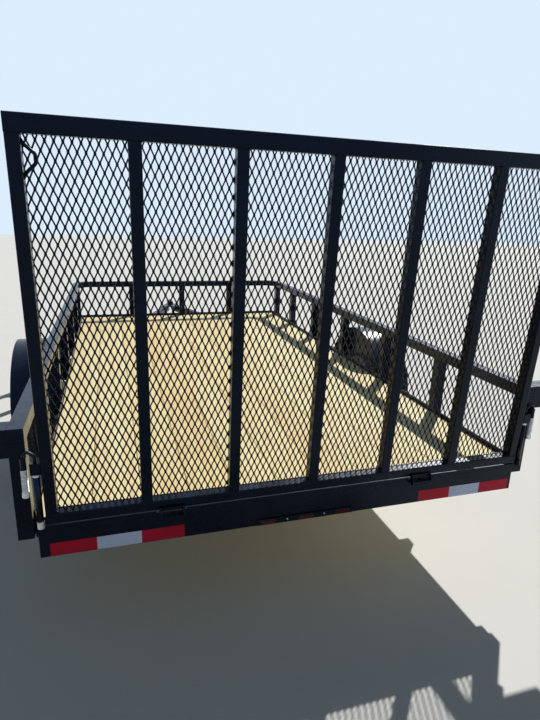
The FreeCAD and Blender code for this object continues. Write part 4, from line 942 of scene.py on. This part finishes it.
def spring_clamps():
    """U-bolts round the axle, with the tie plates and nuts on top of the springs."""
    bm = bmesh.new()
    low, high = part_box("leaf_springs")
    reach = 0.036
    steps = 16
    plate_low = low[2] + 0.0243
    plate_high = plate_low + 0.008
    rod_top = plate_low + 0.021
    for side in (-1, 1):
        middle = side * (high[0] - 0.0225)
        round_box(
            bm, (middle - 0.037, AXLE_Y - 0.047, plate_low),
            (middle + 0.037, AXLE_Y + 0.047, plate_high), 0.0012)
        for x in (middle - 0.029, middle + 0.029):
            arc = [(x, AXLE_Y - reach * math.cos(a), AXLE_Z - reach * math.sin(a))
                   for a in (math.pi * k / steps for k in range(steps + 1))]
            rod(bm, [(x, AXLE_Y - reach, rod_top)] + arc + [(x, AXLE_Y + reach, rod_top)], 0.005, sides=12)
            for y in (AXLE_Y - reach, AXLE_Y + reach):
                bolt(bm, (x, y, plate_high), (0, 0, 1), 0.017, 0.008)
    return add_object("spring_clamps", bm, [ZINC], "chassis")


for wheel_side in ("left", "right"):
    tyre(wheel_side)
    wheel_bolts(wheel_side)
spring_clamps()


# Floor, light and camera
def floor():
    """Plain pale floor."""
    bpy.ops.mesh.primitive_plane_add(size=60.0, location=(0, 0, 0))
    plane = bpy.context.object
    plane.name = "floor"
    m = Maker("floor_pale")
    tone = m.span(m.noise(3.0, 4.0), 0.3, 0.7, 0.78, 0.80)
    plane.data.materials.append(m.finish(m.combine(tone, tone, tone), 0.9))


def sky():
    """A weak even light. The camera, gloss and glass see a pale sky in its place."""
    world = bpy.data.worlds.new("studio")
    bpy.context.scene.world = world
    world.use_nodes = True
    tree = world.node_tree
    tree.nodes.clear()

    def background(tint, strength):
        node = tree.nodes.new("ShaderNodeBackground")
        node.inputs["Color"].default_value = tint
        node.inputs["Strength"].default_value = strength
        return node.outputs[0]

    rays = tree.nodes.new("ShaderNodeLightPath").outputs
    seen = rays["Is Camera Ray"]
    for kind in ("Is Glossy Ray", "Is Transmission Ray"):
        either = tree.nodes.new("ShaderNodeMath")
        either.operation = "MAXIMUM"
        tree.links.new(seen, either.inputs[0])
        tree.links.new(rays[kind], either.inputs[1])
        seen = either.outputs[0]
    blend = tree.nodes.new("ShaderNodeMixShader")
    out = tree.nodes.new("ShaderNodeOutputWorld")
    tree.links.new(seen, blend.inputs["Fac"])
    tree.links.new(background(color(0.66, 0.84, 1.0), 0.14), blend.inputs[1])
    tree.links.new(background(color(0.72, 0.85, 1.0), 1.0), blend.inputs[2])
    tree.links.new(blend.outputs[0], out.inputs["Surface"])


def sun():
    """Sun from the front right, 40 degrees up."""
    light = bpy.data.lights.new("key", "SUN")
    light.energy = 3.95
    light.angle = math.radians(0.8)
    light.color = (1.0, 0.96, 0.88)
    lamp = bpy.data.objects.new("key", light)
    lamp.rotation_euler = Vector((0.513, 0.567, 0.643)).to_track_quat("Z", "Y").to_euler()
    bpy.context.scene.collection.objects.link(lamp)


def camera():
    """The photograph's camera, as solved from its marked points."""
    data = bpy.data.cameras.new("camera")
    data.sensor_fit = "HORIZONTAL"
    data.sensor_width = 36.0
    data.lens = 34.217
    data.clip_end = 200.0
    cam = bpy.data.objects.new("camera", data)
    right = Vector((0.956075, -0.291516, 0.030653))
    up = Vector((0.050909, 0.268125, 0.962038))
    back = Vector((-0.288668, -0.91822, 0.271188))
    turn = Matrix((right, up, back)).transposed().to_4x4()
    cam.matrix_world = Matrix.Translation((-0.69492, REAR - 1.65662, 1.55132)) @ turn
    bpy.context.scene.collection.objects.link(cam)
    bpy.context.scene.camera = cam


floor()
sky()
sun()
camera()
bpy.context.scene.view_settings.view_transform = "Standard"
